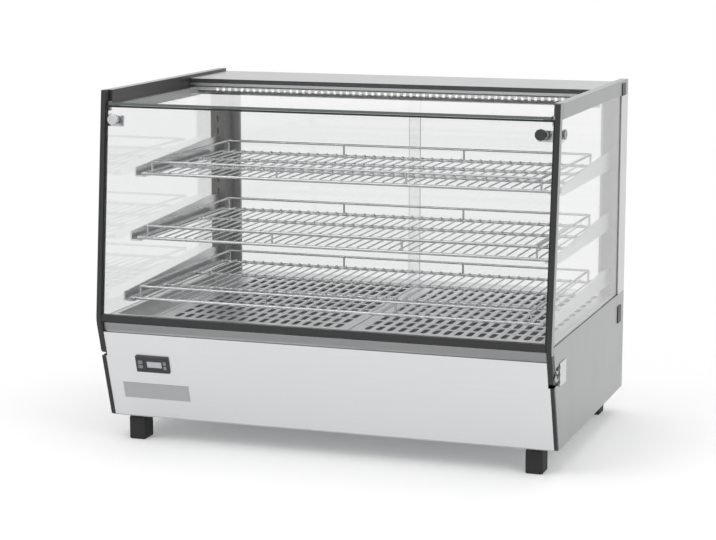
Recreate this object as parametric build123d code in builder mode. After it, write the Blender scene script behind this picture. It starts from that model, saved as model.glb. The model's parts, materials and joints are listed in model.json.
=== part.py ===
from build123d import *
import os

# Counter-top heated display case, millimetres. +X is the customer's right, -Y the customer's side, +Z up.
# The origin is on the counter, under the middle of the case.

# Overall sizes
width = 862.0
depth = 602.0
foot_height = 48.0
base_height = 191.0
glazed_height = 422.0
base_lean = 59.0
glass_lean = 41.0

# Sheet, glass and clearances
sheet = 1.5
glass = 5.0
fit = 0.3
clear = 1.0

# Front glass door
strip_width = 10.0
strip_depth = 16.0
strip_inset = 3.0
strip_slot = 4.0
knee_radius = 45.0
door_rail_height = 13.0
door_rail_depth = 12.0
door_gap = 3.0
top_seal_height = 3.0
pivot_drop = 53.0
pivot_setback = 12.0
lug_radius = 12.0
pin_radius = 3.0
pin_clearance = 0.08
pin_head_radius = 5.5
pin_head_height = 1.7

# Fixed hinge leaves on the side panels
leaf_height = 42.0
leaf_length = 45.0
leaf_thickness = 2.0
leaf_setback = 32.0
leaf_stud_radius = 2.0
leaf_stud_pitch = 12.0
arm_radius = 7.0
arm_plate = 3.0

# Side walls and top rails
rail_height = 28.0
rail_width = 16.0
rail_recess = 2.0
groove_depth = 12.0
lip_width = 8.0
lip_height = 2.0
post_width = 56.0
edge_trim_width = 6.5
edge_trim_depth = 8.0

# Roof
roof_depth = 392.0
roof_inset = 1.0
roof_drop = 22.0
cover_drop = 6.0
cover_fascia = 15.0

# Corner catches and knobs
knob_radius = 10.0
knob_length = 18.0
knob_inset_x = 31.0
knob_drop = 53.0
stud_radius = 3.0
catch_height = 20.0
catch_thickness = 5.0
catch_reach = 36.0
strike_radius = 8.0
strike_thickness = 3.0
knob_gap = 0.4
flute_count = 10
head_radius = 9.0
head_thickness = 4.0
clip_height = 17.0
clip_width = 5.4
clip_leg = 16.0
clip_plate = 3.0

# Rear sliding doors
track_depth = 22.0
lower_track_height = 34.0
upper_track_height = 28.0
groove_width = 7.0
lower_groove = 12.0
upper_groove = 18.0
door_glass = 4.0
door_overlap = 30.0
door_lift = 0.4
door_headroom = 6.0
grip_width = 36.0
grip_wall = 2.0
cover_back = 26.0
cap_width = 29.0
cap_height = 34.0
cap_thickness = 1.5

# Uprights and shelves
upright_width = 30.0
upright_depth = 40.0
upright_wall = 2.0
slot_height = 12.0
slot_width = 4.0
slot_pitch = 25.0
arm_thickness = 3.0
arm_rise = 32.0
arm_tip_rise = 14.0
arm_flange = 18.0
shelf_width = 790.0
wire_radius = 1.5
frame_wire_radius = 3.0
side_wire_radius = 2.8
wire_pitch = 20.0
wire_sink = 0.5
lip_rise = 23.0
lip_radius = 2.4
lip_gap = 0.05
lip_post_pitch = 250.0
shelf_names = ("lower", "middle", "upper")
shelf_heights = (267.0, 376.0, 494.0)
shelf_fronts = (76.0, 111.0, 136.0)
shelf_back_gap = 25.0

# Deck, perforated plates and water pan
deck_height = 4.0
deck_flange = 22.0
deck_setback = 20.0
deck_front_flange = 6.0
deck_rear_flange = 28.0
pan_x = -374.0
pan_width = 88.0
pan_depth = 480.0
pan_height = 28.0
pan_rim = 6.0
plate_xs = (-138.0, 234.0)
plate_width = 368.0
plate_depth = 490.0
plate_y = -17.0
plate_lap = 8.0
plate_slot_width = 9.0
plate_slot_length = 40.0
plate_columns = 16
plate_rows = 8
plate_column_pitch = 21.0
plate_row_pitch = 56.0

# Front panel, control and label
sill_height = 18.0
sill_depth = 30.0
sill_inset = 7.0
panel_inset = 2.0
panel_return = 18.0
control_x = -330.0
control_rise = 110.0
control_width = 66.0
control_height = 33.0
control_cut_width = 58.0
control_cut_height = 25.0
control_body_depth = 50.0
bezel_thickness = 4.0
window_width = 30.0
window_height = 13.0
window_shift = 4.0
window_thickness = 1.0
key_height = 7.0
left_key_width = 9.0
right_key_width = 6.0
key_proud = 0.8
key_stem = 2.2
key_gap = 0.25
label_x = -331.0
label_rise = 54.0
label_width = 132.0
label_height = 32.0
label_thickness = 0.8

# Feet
foot_width = 32.0
foot_length = 40.0
foot_x = 385.0
foot_front_inset = 32.0
foot_rear_inset = 46.0
foot_stud_radius = 4.0
foot_stud_length = 9.0

# Machine space under the deck
plenum_x = 48.0
plenum_width = 720.0
plenum_depth = 440.0
plenum_drop = 46.0
fan_size = 120.0
fan_height = 38.0
fan_bore = 56.0
fan_pitch = 360.0
rotor_radius = 53.0
hub_radius = 18.0
shaft_radius = 3.0
blade_count = 7
blade_angle = 35.0
element_radius = 4.0
element_width = 150.0
element_depth = 330.0
element_rise = 22.0
vent_slots = 11
vent_pitch = 9.0
vent_width = 4.0
vent_length = 70.0

# Rear switches and inlet
rocker_width = 13.0
rocker_height = 19.0
rocker_x = 300.0
rocker_pitch = 34.0
rocker_z = 120.0
rocker_body = 18.0
rocker_bezel = 2.0
rocker_wall = 1.4
rocker_play = 0.8
rocker_thickness = 5.0
rocker_pin = 1.2
back_inset = 3.0
inlet_width = 28.0
inlet_height = 21.0
inlet_x = 210.0
inlet_wall = 3.0
inlet_depth = 20.0
inlet_flange = 6.0

# Lighting
led_count = 32
led_pitch = 23.0
led_size = 6.0
led_bar_height = 16.0
led_bar_depth = 30.0

# Derived places
half = width / 2
front = -depth / 2
rear = depth / 2
floor_z = foot_height
knee_z = foot_height + base_height
top_z = knee_z + glazed_height
rail_z = top_z - rail_height
glass_z = knee_z + 4.0
glass_out = half - rail_recess
glass_in = glass_out - glass
rail_in = half - rail_width
roof_top = top_z - roof_drop
roof_bottom = roof_top - glass
deck_top = knee_z + deck_height
deck_bottom = deck_top - sheet
door_in = half - strip_width
pane_in = door_in - fit
pivot_z = knee_z - pivot_drop
track_front = rear - track_depth
lower_track_top = foot_height + 171.0
lower_track_bottom = lower_track_top - lower_track_height
cover_top = top_z - cover_drop
upper_track_top = cover_top - sheet - fit
upper_track_bottom = upper_track_top - upper_track_height
upright_front = track_front - clear - upright_depth
sill_top = knee_z - 1.0 - door_gap
sill_bottom = sill_top - sill_height
knob_z = top_z - knob_drop


def front_line(z):
    """Front profile of the case at height z: leaning out up to the knee, then leaning back up the glass."""
    if z <= knee_z:
        return front + base_lean * (knee_z - z) / base_height
    return front + glass_lean * (z - knee_z) / glazed_height


pivot_y = front_line(pivot_z) + pivot_setback
outward = Vector(0, -base_height, -base_lean).normalized()
glass_outward = Vector(0, -glazed_height, glass_lean).normalized()
glass_upward = Vector(0, glass_lean, glazed_height).normalized()
back_face = rear - back_inset
fan_xs = (plenum_x - fan_pitch / 2, plenum_x + fan_pitch / 2)


def side_plane(x):
    """Sketch plane across the case at x, with local x along +Y and local y along +Z."""
    return Plane(origin=(x, 0, 0), x_dir=(0, 1, 0), z_dir=(1, 0, 0))


def panel_plane(x, rise, inset=panel_inset):
    """Plane on the sloped front panel, at a height above the floor of the case, facing outwards."""
    z = floor_z + rise
    return Plane(origin=(x, front_line(z) + inset, z), x_dir=(1, 0, 0), z_dir=outward)


def profile_band(z_low, z_high, inset, thickness):
    """Points of a band that follows the front profile between two heights on one side of the knee."""
    return [
        (front_line(z_low) + inset, z_low),
        (front_line(z_low) + inset + thickness, z_low),
        (front_line(z_high) + inset + thickness, z_high),
        (front_line(z_high) + inset, z_high),
    ]


def knob_plane(x):
    """Plane on the outer face of the front glass at a knob, facing outwards."""
    return Plane(origin=(x, front_line(knob_z) + strip_inset, knob_z), x_dir=(1, 0, 0), z_dir=glass_outward)


def save(part, name):
    """Labels a finished piece and writes it."""
    part.label = name
    export_step(part, f"parts/{name}.step")


def save_pair(part, name):
    """Writes a right-hand piece and its mirror image as two nodes."""
    save(part, f"right_{name}")
    save(mirror(part, about=Plane.YZ), f"left_{name}")


os.makedirs("parts", exist_ok=True)


# Base tray with feet

foot_places = [
    (side * foot_x, y)
    for side in (-1, 1)
    for y in (front_line(floor_z) + foot_front_inset, rear - foot_rear_inset)
]
tray_half = half - sheet - fit
base_front = front_line(floor_z) + 2.0
base_rear = back_face - sheet - fit

with BuildPart() as base_tray:
    with BuildSketch(Plane.XY.offset(floor_z)):
        with Locations((0, (base_front + base_rear) / 2)):
            Rectangle(2 * tray_half, base_rear - base_front)
    extrude(amount=sheet)
    flange = 25.0
    with BuildSketch(Plane.XY.offset(floor_z)):
        with Locations((0, base_rear - sheet / 2)):
            Rectangle(2 * tray_half, sheet)
        with Locations(*[(s * (tray_half - sheet / 2), (base_rear + base_front + flange) / 2) for s in (-1, 1)]):
            Rectangle(sheet, base_rear - base_front - flange)
    extrude(amount=flange)
    with BuildSketch(Plane.XY.offset(floor_z)):
        with Locations(*foot_places):
            Circle(foot_stud_radius + 0.2)
        with Locations(*[(x, 0) for x in fan_xs]):
            with GridLocations(vent_pitch, 0, vent_slots, 1):
                SlotOverall(vent_length, vent_width, rotation=90)
    extrude(amount=sheet, mode=Mode.SUBTRACT)
save(base_tray.part, "base_tray")

with BuildPart() as feet:
    with BuildSketch():
        with Locations(*foot_places):
            RectangleRounded(foot_width, foot_length, 3.0)
    extrude(amount=foot_height)
    chamfer(feet.faces().sort_by(Axis.Z)[0:4].edges(), 1.5)
    with BuildSketch(Plane.XY.offset(foot_height)):
        with Locations(*foot_places):
            Circle(foot_stud_radius)
    extrude(amount=foot_stud_length)
save(feet.part, "feet")


# Lower side panels, back panel, front panel and sill

trim_top = pivot_z - lug_radius - 4.0
leaf_y = pivot_y + leaf_setback + leaf_length / 2
stud_places = [(leaf_y - leaf_stud_pitch, pivot_z), (leaf_y + leaf_stud_pitch, pivot_z)]
with BuildPart() as side_panel:
    with BuildSketch(side_plane(half - sheet)):
        with BuildLine():
            Polyline(
                (front_line(floor_z) + edge_trim_depth + fit, floor_z),
                (rear, floor_z),
                (rear, glass_z - fit),
                (front_line(glass_z) + strip_depth + clear, glass_z - fit),
                (front_line(knee_z) + strip_depth + clear, knee_z),
                (front_line(trim_top) + strip_depth + clear, trim_top),
                (front_line(trim_top) + edge_trim_depth + fit, trim_top),
                close=True,
            )
        make_face()
        with Locations((pivot_y, pivot_z)):
            Circle(lug_radius + clear, mode=Mode.SUBTRACT)
        with Locations(*stud_places):
            Circle(leaf_stud_radius + 0.2, mode=Mode.SUBTRACT)
    extrude(amount=sheet)
    flange_front = front_line(knee_z) + strip_depth + 5.0
    with BuildSketch(Plane.XY.offset(glass_z - fit)):
        with Locations(((glass_in + half) / 2, (flange_front + rear - sheet - fit) / 2)):
            Rectangle(half - glass_in, rear - sheet - fit - flange_front)
    extrude(amount=-sheet)
save_pair(side_panel.part, "side_panel")

with BuildPart() as edge_trim:
    with BuildSketch(side_plane(half - edge_trim_width), side_plane(-half)):
        with BuildLine():
            Polyline(*profile_band(floor_z + sheet + fit, trim_top - clear, 0, edge_trim_depth), close=True)
        make_face()
    extrude(amount=edge_trim_width)
save(edge_trim.part, "lower_edge_trims")

back_top = lower_track_bottom - fit
rocker_cut_width = rocker_width + 2 * fit + 2 * rocker_wall + 2 * fit
rocker_cut_height = rocker_height + 2 * rocker_play + 2 * rocker_wall + 2 * fit
with BuildPart() as back_panel:
    with BuildSketch(Plane.XZ.offset(-back_face)):
        with Locations((0, (floor_z + back_top) / 2)):
            Rectangle(2 * tray_half, back_top - floor_z)
        with Locations((inlet_x, rocker_z)):
            Rectangle(inlet_width + 0.6, inlet_height + 0.6, mode=Mode.SUBTRACT)
        with Locations((rocker_x - rocker_pitch / 2, rocker_z), (rocker_x + rocker_pitch / 2, rocker_z)):
            Rectangle(rocker_cut_width, rocker_cut_height, mode=Mode.SUBTRACT)
        with Locations((-180, rocker_z)):
            with GridLocations(0, vent_pitch, 1, vent_slots):
                SlotOverall(2 * vent_length, vent_width, mode=Mode.SUBTRACT)
    extrude(amount=sheet)
    with BuildSketch(Plane.XY.offset(back_top)):
        with Locations((0, back_face - 9.0)):
            Rectangle(2 * tray_half, 18.0)
    extrude(amount=-sheet)
save(back_panel.part, "back_panel")

panel_half = half - edge_trim_width - 0.5
with BuildPart() as front_panel:
    panel_low = floor_z + sheet + fit
    panel_top = sill_bottom - fit
    for reach, low, high in ((panel_half, panel_low, trim_top - clear), (pane_in, panel_low, panel_top)):
        with BuildSketch(side_plane(-reach)):
            with BuildLine():
                Polyline(*profile_band(low, high, panel_inset, sheet), close=True)
            make_face()
        extrude(amount=2 * reach)
    for low in (panel_low, panel_top - sheet):
        with BuildSketch(side_plane(-pane_in)):
            with BuildLine():
                Polyline(*profile_band(low, low + sheet, panel_inset + sheet / 2, panel_return), close=True)
            make_face()
        extrude(amount=2 * pane_in)
    with BuildSketch(panel_plane(control_x, control_rise)):
        Rectangle(control_cut_width + 0.6, control_cut_height + 0.6)
    extrude(amount=-10, mode=Mode.SUBTRACT)
save(front_panel.part, "front_panel")

with BuildPart() as sill:
    with BuildSketch(side_plane(-pane_in)):
        with BuildLine():
            Polyline(*profile_band(sill_bottom, sill_top, sill_inset, sill_depth), close=True)
        make_face()
        with BuildLine():
            Polyline(*profile_band(sill_bottom + 2, sill_top - 2, sill_inset + 2, sill_depth - 4), close=True)
        make_face(mode=Mode.SUBTRACT)
    extrude(amount=2 * pane_in)
save(sill.part, "front_sill")


# Control unit and blank plate on the front panel

bezel_face = panel_plane(control_x, control_rise, panel_inset - 0.1)
window_centre = (window_shift, 0)
left_key_x = -control_width / 2 + 5.0 + left_key_width / 2
right_key_x = control_width / 2 - 4.5 - right_key_width / 2
key_y = key_height / 2 + 1.2
key_places = {
    "set": (left_key_x, key_y, left_key_width),
    "power": (left_key_x, -key_y, left_key_width),
    "up": (right_key_x, key_y, right_key_width),
    "down": (right_key_x, -key_y, right_key_width),
}

with BuildPart() as control_bezel:
    with BuildSketch(bezel_face):
        RectangleRounded(control_width, control_height, 3.0)
    extrude(amount=bezel_thickness)
    fillet(control_bezel.faces().sort_by(SortBy.AREA)[-2:].edges().group_by(Axis.Y)[0], 0.8)
    with BuildSketch(bezel_face):
        with Locations(window_centre):
            Rectangle(window_width + 2 * key_gap, window_height + 2 * key_gap)
        for x, y, key_width in key_places.values():
            with Locations((x, y)):
                Rectangle(key_width + 2 * key_gap, key_height + 2 * key_gap)
    extrude(amount=bezel_thickness, mode=Mode.SUBTRACT)
    with BuildSketch(bezel_face):
        Rectangle(control_cut_width, control_cut_height)
    extrude(amount=-control_body_depth)
save(control_bezel.part, "control_housing")

with BuildPart() as control_window:
    with BuildSketch(bezel_face.offset(0.05)):
        with Locations(window_centre):
            Rectangle(window_width, window_height)
    extrude(amount=bezel_thickness - window_thickness)
save(control_window.part, "control_window")

for key_name, (x, y, key_width) in key_places.items():
    with BuildPart() as key:
        with BuildSketch(bezel_face.offset(bezel_thickness - key_stem)):
            with Locations((x, y)):
                RectangleRounded(key_width, key_height, 0.8)
        extrude(amount=key_stem + key_proud)
    save(key.part, f"{key_name}_key")

with BuildPart() as label_plate:
    with BuildSketch(panel_plane(label_x, label_rise, panel_inset - 0.05)):
        RectangleRounded(label_width, label_height, 1.5)
    extrude(amount=label_thickness)
save(label_plate.part, "blank_plate")


# Side glass, top rails, rear corner posts and their caps

with BuildPart() as side_glass:
    with BuildSketch(side_plane(glass_in)):
        with BuildLine():
            Polyline(
                (front_line(glass_z) + strip_depth + clear, glass_z),
                (rear - sheet - fit, glass_z),
                (rear - sheet - fit, rail_z + groove_depth - clear),
                (front_line(rail_z + groove_depth) + strip_depth + clear, rail_z + groove_depth - clear),
                close=True,
            )
        make_face()
    extrude(amount=glass)
    catch_z = top_z - knob_drop - 2.0
    head_y = front_line(catch_z) + 39.0
    with BuildSketch(side_plane(glass_in)):
        with Locations((head_y, catch_z)):
            Circle(stud_radius + 0.3)
    extrude(amount=glass, mode=Mode.SUBTRACT)
save_pair(side_glass.part, "side_glass")

rail_front = front_line(rail_z) + strip_depth + clear
with BuildPart() as top_rail:
    with BuildSketch(side_plane(rail_in)):
        with BuildLine():
            Polyline(
                (rail_front, rail_z),
                (rear, rail_z),
                (rear, top_z),
                (front_line(top_z) + strip_depth + clear, top_z),
                close=True,
            )
        make_face()
    extrude(amount=rail_width)
    with BuildSketch(side_plane(glass_in - fit)):
        with Locations(((rail_front + rear) / 2, rail_z + groove_depth / 2)):
            Rectangle(2 * depth, groove_depth)
    extrude(amount=glass + 2 * fit, mode=Mode.SUBTRACT)
    with BuildSketch(side_plane(rail_in - lip_width)):
        with Locations((rail_front + roof_depth / 2, roof_bottom - fit - lip_height / 2)):
            Rectangle(roof_depth, lip_height)
    extrude(amount=lip_width + 2.0)
save_pair(top_rail.part, "top_rail")

with BuildPart() as corner_post:
    with BuildSketch(Plane.XY.offset(glass_z)):
        with Locations(((glass_out + fit + half) / 2, rear - post_width / 2)):
            Rectangle(half - glass_out - fit, post_width)
        with Locations(((rail_in + half) / 2, rear - sheet / 2)):
            Rectangle(rail_width, sheet)
    extrude(amount=rail_z - fit - glass_z)
    mirror(about=Plane.YZ)
save(corner_post.part, "rear_corner_posts")

cap_y = track_front - clear - upright_depth / 2
cap_spots = (
    (cap_y, rail_z + rail_height / 2 - 3.0, rail_height - 4.0),
    (cap_y, lower_track_bottom + lower_track_height / 2, cap_height),
)
with BuildPart() as bolt_caps:
    for y, z, tall in cap_spots:
        with BuildSketch(side_plane(half + 0.05), side_plane(-half - 0.05 - cap_thickness)):
            with Locations((y, z)):
                RectangleRounded(cap_width, tall, 3.0)
        extrude(amount=cap_thickness)
save(bolt_caps.part, "upright_bolt_caps")


# Roof glass, rear top cover and lighting

roof_front = front_line(roof_top) + roof_inset
roof_rear = roof_front + roof_depth
with BuildPart() as roof_glass:
    with BuildSketch(Plane.XY.offset(roof_bottom)):
        with Locations((0, (roof_front + roof_rear) / 2)):
            Rectangle(2 * (rail_in - 0.5), roof_depth)
    extrude(amount=glass)
save(roof_glass.part, "roof_glass")

cover_front = roof_rear - 20.0
cover_half = rail_in - 0.5
with BuildPart() as top_cover:
    with BuildSketch(Plane.XY.offset(cover_top)):
        with Locations((0, (cover_front + rear) / 2)):
            Rectangle(2 * cover_half, rear - cover_front)
    extrude(amount=-sheet)
    with BuildSketch(Plane.XY.offset(cover_top)):
        with Locations((0, cover_front + sheet / 2)):
            Rectangle(2 * cover_half, sheet)
    extrude(amount=-cover_fascia)
    with BuildSketch(Plane.XY.offset(cover_top)):
        with Locations((0, rear - sheet / 2)):
            Rectangle(2 * cover_half, sheet)
    extrude(amount=-cover_back)
save(top_cover.part, "rear_top_cover")

led_y = cover_front + led_bar_depth / 2 + 5.0
led_top = roof_bottom - fit
with BuildPart() as led_bar:
    with BuildSketch(Plane.YZ.offset(-rail_in + lip_width + 1)):
        with BuildLine():
            Polyline(
                (led_y - led_bar_depth / 2, led_top - 2.0),
                (led_y - led_bar_depth / 2 + 2.0, led_top),
                (led_y + led_bar_depth / 2, led_top),
                (led_y + led_bar_depth / 2, led_top - led_bar_height),
                (led_y + led_bar_depth / 2 - 2.0, led_top - led_bar_height),
                (led_y - led_bar_depth / 2, led_top - 8.0),
                close=True,
            )
        make_face()
    extrude(amount=2 * (rail_in - lip_width - 1))
save(led_bar.part, "led_bar")

with BuildPart() as leds:
    with BuildSketch(Plane.XZ.offset(-(led_y - led_bar_depth / 2 - 0.05))):
        with Locations((0, led_top - 5.0)):
            with GridLocations(led_pitch, 0, led_count, 1):
                Rectangle(led_size, 4.0)
    extrude(amount=0.8)
save(leds.part, "led_chips")


# Rear tracks and sliding doors

groove_wall = (track_depth - 2 * groove_width) / 3
groove_centres = [track_front + groove_wall + groove_width / 2, rear - groove_wall - groove_width / 2]

with BuildPart() as lower_track:
    with BuildSketch(side_plane(-tray_half)):
        with Locations(((track_front + rear) / 2, lower_track_top - lower_track_height / 2)):
            Rectangle(track_depth, lower_track_height)
        with Locations(*[(y, lower_track_top - lower_groove / 2) for y in groove_centres]):
            Rectangle(groove_width, lower_groove, mode=Mode.SUBTRACT)
        with Locations(((track_front + rear) / 2, lower_track_bottom + 9.0)):
            Rectangle(track_depth - 2 * groove_wall, 14.0, mode=Mode.SUBTRACT)
    extrude(amount=2 * tray_half)
save(lower_track.part, "lower_track")

with BuildPart() as upper_track:
    with BuildSketch(side_plane(-cover_half)):
        with Locations(((track_front + rear - sheet - fit) / 2, upper_track_top - upper_track_height / 2)):
            Rectangle(track_depth - sheet - fit, upper_track_height)
        with Locations(*[(y, upper_track_bottom + upper_groove / 2) for y in groove_centres]):
            Rectangle(groove_width, upper_groove, mode=Mode.SUBTRACT)
    extrude(amount=2 * cover_half)
save(upper_track.part, "upper_track")

door_reach = cover_half - 1.0
pane_low = lower_track_top - lower_groove + door_lift
pane_high = upper_track_bottom + upper_groove - door_headroom
for side, name, groove_y in ((-1, "left", groove_centres[0]), (1, "right", groove_centres[1])):
    pane_centre = side * (door_reach - door_overlap / 2) / 2
    pane_width = door_reach + door_overlap / 2
    edge_x = side * (door_reach - grip_width / 2)
    with BuildPart() as rear_pane:
        with BuildSketch(Plane.XY.offset(pane_low)):
            with Locations((pane_centre, groove_y)):
                Rectangle(pane_width - 2 * grip_wall, door_glass)
        extrude(amount=pane_high - pane_low)
    save(rear_pane.part, f"{name}_rear_door_glass")

    with BuildPart() as grip:
        grip_low = lower_track_top + 2.0
        grip_high = upper_track_bottom - 2.0
        with BuildSketch(Plane.XY.offset(grip_low)):
            with Locations((edge_x, groove_y)):
                Rectangle(grip_width, door_glass + 2 * grip_wall)
            with Locations((edge_x - side * grip_wall, groove_y)):
                Rectangle(grip_width, door_glass + 0.1, mode=Mode.SUBTRACT)
        extrude(amount=grip_high - grip_low)
    save(grip.part, f"{name}_rear_door_grip")


# Slotted uprights, cantilever arms and wire shelves

upright_low = deck_top + fit
upright_high = rail_z - lip_height - 0.5
upright_x = glass_in - fit - upright_width / 2
slot_count = int((upright_high - upright_low - 20.0) / slot_pitch)
slot_start = upright_low + 18.0

with BuildPart() as upright:
    with BuildSketch(Plane.XY.offset(upright_low)):
        with Locations((upright_x, upright_front + upright_depth / 2)):
            Rectangle(upright_width, upright_depth)
            Rectangle(upright_width - 2 * upright_wall, upright_depth - 2 * upright_wall, mode=Mode.SUBTRACT)
    extrude(amount=upright_high - upright_low)
    with BuildSketch(Plane.XZ.offset(-upright_front)):
        for i in range(slot_count):
            with Locations((upright_x, slot_start + i * slot_pitch)):
                Rectangle(slot_width, slot_height)
    extrude(amount=-upright_wall, mode=Mode.SUBTRACT)
    mirror(about=Plane.YZ)
save(upright.part, "shelf_uprights")

shelf_half = shelf_width / 2
arm_x = upright_x - arm_thickness / 2
flange_in = shelf_half - 6.0

with BuildPart() as arms:
    for shelf_z, inset in zip(shelf_heights, shelf_fronts):
        arm_front = front + inset + 2.0
        arm_low = shelf_z - fit - arm_plate
        hook_z = slot_start + slot_pitch * (int((shelf_z - slot_start) / slot_pitch) + 1)
        with BuildSketch(side_plane(arm_x)):
            with BuildLine():
                Polyline(
                    (upright_front - fit, arm_low),
                    (arm_front, arm_low),
                    (arm_front, shelf_z + arm_tip_rise),
                    (upright_front - fit - 60.0, shelf_z + arm_rise),
                    (upright_front - fit, shelf_z + arm_rise),
                    close=True,
                )
            make_face()
            with Locations((upright_front + upright_wall / 2, hook_z)):
                Rectangle(upright_wall + 2 * clear + 2 * fit, slot_height - 4.0)
        extrude(amount=arm_thickness)
        with BuildSketch(Plane.XY.offset(arm_low)):
            with Locations(((flange_in + arm_x + arm_thickness) / 2, (arm_front + upright_front - fit) / 2)):
                Rectangle(arm_x + arm_thickness - flange_in, upright_front - fit - arm_front)
        extrude(amount=arm_plate)
    mirror(about=Plane.YZ)
save(arms.part, "shelf_arms")

for name, shelf_z, inset in zip(shelf_names, shelf_heights, shelf_fronts):
    shelf_front = front + inset + frame_wire_radius
    shelf_rear = upright_front - shelf_back_gap
    frame_z = shelf_z + frame_wire_radius
    wires_z = shelf_z + 2 * frame_wire_radius + wire_radius - wire_sink
    lip_x = shelf_half - 20.0

    with BuildPart() as shelf:
        wire_count = int((shelf_width - 20.0) / wire_pitch) + 1
        frame_length = shelf_rear - shelf_front
        with BuildSketch(Plane.XZ.offset(-shelf_front)):
            with Locations((0, wires_z)):
                with GridLocations(wire_pitch, 0, wire_count, 1):
                    Circle(wire_radius)
            with Locations((-shelf_half, frame_z), (shelf_half, frame_z)):
                Circle(side_wire_radius)
        extrude(amount=-frame_length)
        rod_ys = [shelf_front, shelf_front + frame_length / 3, shelf_rear - frame_length / 3, shelf_rear]
        with BuildSketch(Plane.YZ.offset(-shelf_half)):
            with Locations(*[(y, frame_z) for y in rod_ys]):
                Circle(frame_wire_radius)
        extrude(amount=shelf_width)
        side_rod_length = frame_length - 2 * lip_radius - 2 * lip_gap
        with BuildSketch(Plane.XZ.offset(-shelf_front - lip_radius - lip_gap)):
            with Locations((-lip_x, frame_z + lip_rise), (lip_x, frame_z + lip_rise)):
                Circle(lip_radius)
        extrude(amount=-side_rod_length)
        with BuildSketch(Plane.YZ.offset(-lip_x - lip_radius)):
            with Locations((shelf_front, frame_z + lip_rise), (shelf_rear, frame_z + lip_rise)):
                Circle(lip_radius)
        extrude(amount=2 * lip_x + 2 * lip_radius)
        with BuildSketch(Plane.XY.offset(frame_z + frame_wire_radius + lip_gap)):
            with Locations((0, shelf_front), (0, shelf_rear)):
                with GridLocations(lip_post_pitch, 0, 4, 1):
                    Circle(lip_radius - 0.4)
        extrude(amount=lip_rise - frame_wire_radius - lip_gap)
    save(shelf.part, f"{name}_shelf")


# Deck, slotted plates and water pan

deck_half = glass_in - fit
deck_front = front + strip_depth + deck_setback - 16.0
deck_rear = track_front - 0.6
deck_length = deck_rear - deck_front

with BuildPart() as deck_frame:
    with BuildSketch(Plane.XY.offset(deck_bottom)):
        with Locations((0, (deck_front + deck_rear) / 2)):
            Rectangle(2 * deck_half, deck_length)
        with Locations(*[(x, plate_y) for x in plate_xs]):
            Rectangle(plate_width - 2 * plate_lap, plate_depth - 2 * plate_lap, mode=Mode.SUBTRACT)
        with Locations((pan_x, plate_y)):
            Rectangle(pan_width - 2 * pan_rim + 1.0, pan_depth - 2 * pan_rim + 1.0, mode=Mode.SUBTRACT)
    extrude(amount=sheet)
    for y, drop in ((deck_front + sheet / 2, deck_front_flange), (deck_rear - sheet / 2, deck_rear_flange)):
        with BuildSketch(Plane.XY.offset(deck_top)):
            with Locations((0, y)):
                Rectangle(2 * deck_half, sheet)
        extrude(amount=-drop)
    with BuildSketch(Plane.XY.offset(deck_top)):
        with Locations(*[(s * (deck_half - sheet / 2), (deck_front + deck_rear + 60) / 2) for s in (-1, 1)]):
            Rectangle(sheet, deck_length - 60)
    extrude(amount=-deck_flange)
save(deck_frame.part, "deck_frame")

for name, x in zip(("left", "right"), plate_xs):
    with BuildPart() as deck_plate:
        with BuildSketch(Plane.XY.offset(deck_top + 0.05)):
            with Locations((x, plate_y)):
                RectangleRounded(plate_width, plate_depth, 4.0)
                with GridLocations(plate_column_pitch, plate_row_pitch, plate_columns, plate_rows):
                    SlotOverall(plate_slot_length, plate_slot_width, rotation=90, mode=Mode.SUBTRACT)
        extrude(amount=sheet)
    save(deck_plate.part, f"{name}_deck_plate")

pan_floor = deck_top + 0.05 - pan_height
with BuildPart() as water_pan:
    with BuildSketch(Plane.XY.offset(pan_floor)):
        with Locations((pan_x, plate_y)):
            RectangleRounded(pan_width - 2 * pan_rim, pan_depth - 2 * pan_rim, 8.0)
    extrude(amount=pan_height)
    with BuildSketch(Plane.XY.offset(deck_top + 0.05)):
        with Locations((pan_x, plate_y)):
            RectangleRounded(pan_width, pan_depth, 10.0)
    extrude(amount=1.0)
    with BuildSketch(Plane.XY.offset(pan_floor + 1.0)):
        with Locations((pan_x, plate_y)):
            RectangleRounded(pan_width - 2 * pan_rim - 2.0, pan_depth - 2 * pan_rim - 2.0, 7.0)
    extrude(amount=pan_height + 1.0, mode=Mode.SUBTRACT)
save(water_pan.part, "water_pan")


# Front glass door: pane, side strips, bottom rail and top seal

front_pane_low = knee_z + 4.0
seal_top = roof_bottom - 0.8
front_pane_high = seal_top - top_seal_height
front_pane_half = door_in + strip_slot - 0.3

with BuildPart() as strips:
    with BuildSketch(side_plane(door_in)):
        with BuildLine():
            Polyline(
                (front_line(pivot_z), pivot_z),
                (front, knee_z),
                (front_line(top_z), top_z),
                (front_line(top_z) + strip_depth, top_z),
                (front + strip_depth, knee_z),
                (front_line(pivot_z) + strip_depth, pivot_z),
                close=True,
            )
        make_face()
    extrude(amount=strip_width)
    knee_edges = strips.edges().filter_by(Axis.X).filter_by(lambda e: abs(e.center().Z - knee_z) < 1)
    fillet(knee_edges.sort_by(Axis.Y)[:1], knee_radius)
    knee_edges = strips.edges().filter_by(Axis.X).filter_by(lambda e: abs(e.center().Z - knee_z) < 1)
    fillet(knee_edges.sort_by(Axis.Y)[-1:], knee_radius - strip_depth)
    with BuildSketch(side_plane(door_in)):
        with Locations((pivot_y, pivot_z)):
            Circle(lug_radius)
    extrude(amount=strip_width)
    with BuildSketch(side_plane(door_in)):
        with Locations((pivot_y, pivot_z)):
            Circle(pin_radius + pin_clearance)
    extrude(amount=strip_width, mode=Mode.SUBTRACT)
    with BuildSketch(side_plane(door_in)):
        with BuildLine():
            Polyline(*profile_band(front_pane_low - 0.3, seal_top, strip_inset - 0.2, glass + 0.4), close=True)
        make_face()
    extrude(amount=strip_slot, mode=Mode.SUBTRACT)
    mirror(about=Plane.YZ)
save(strips.part, "front_side_strips")

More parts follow.
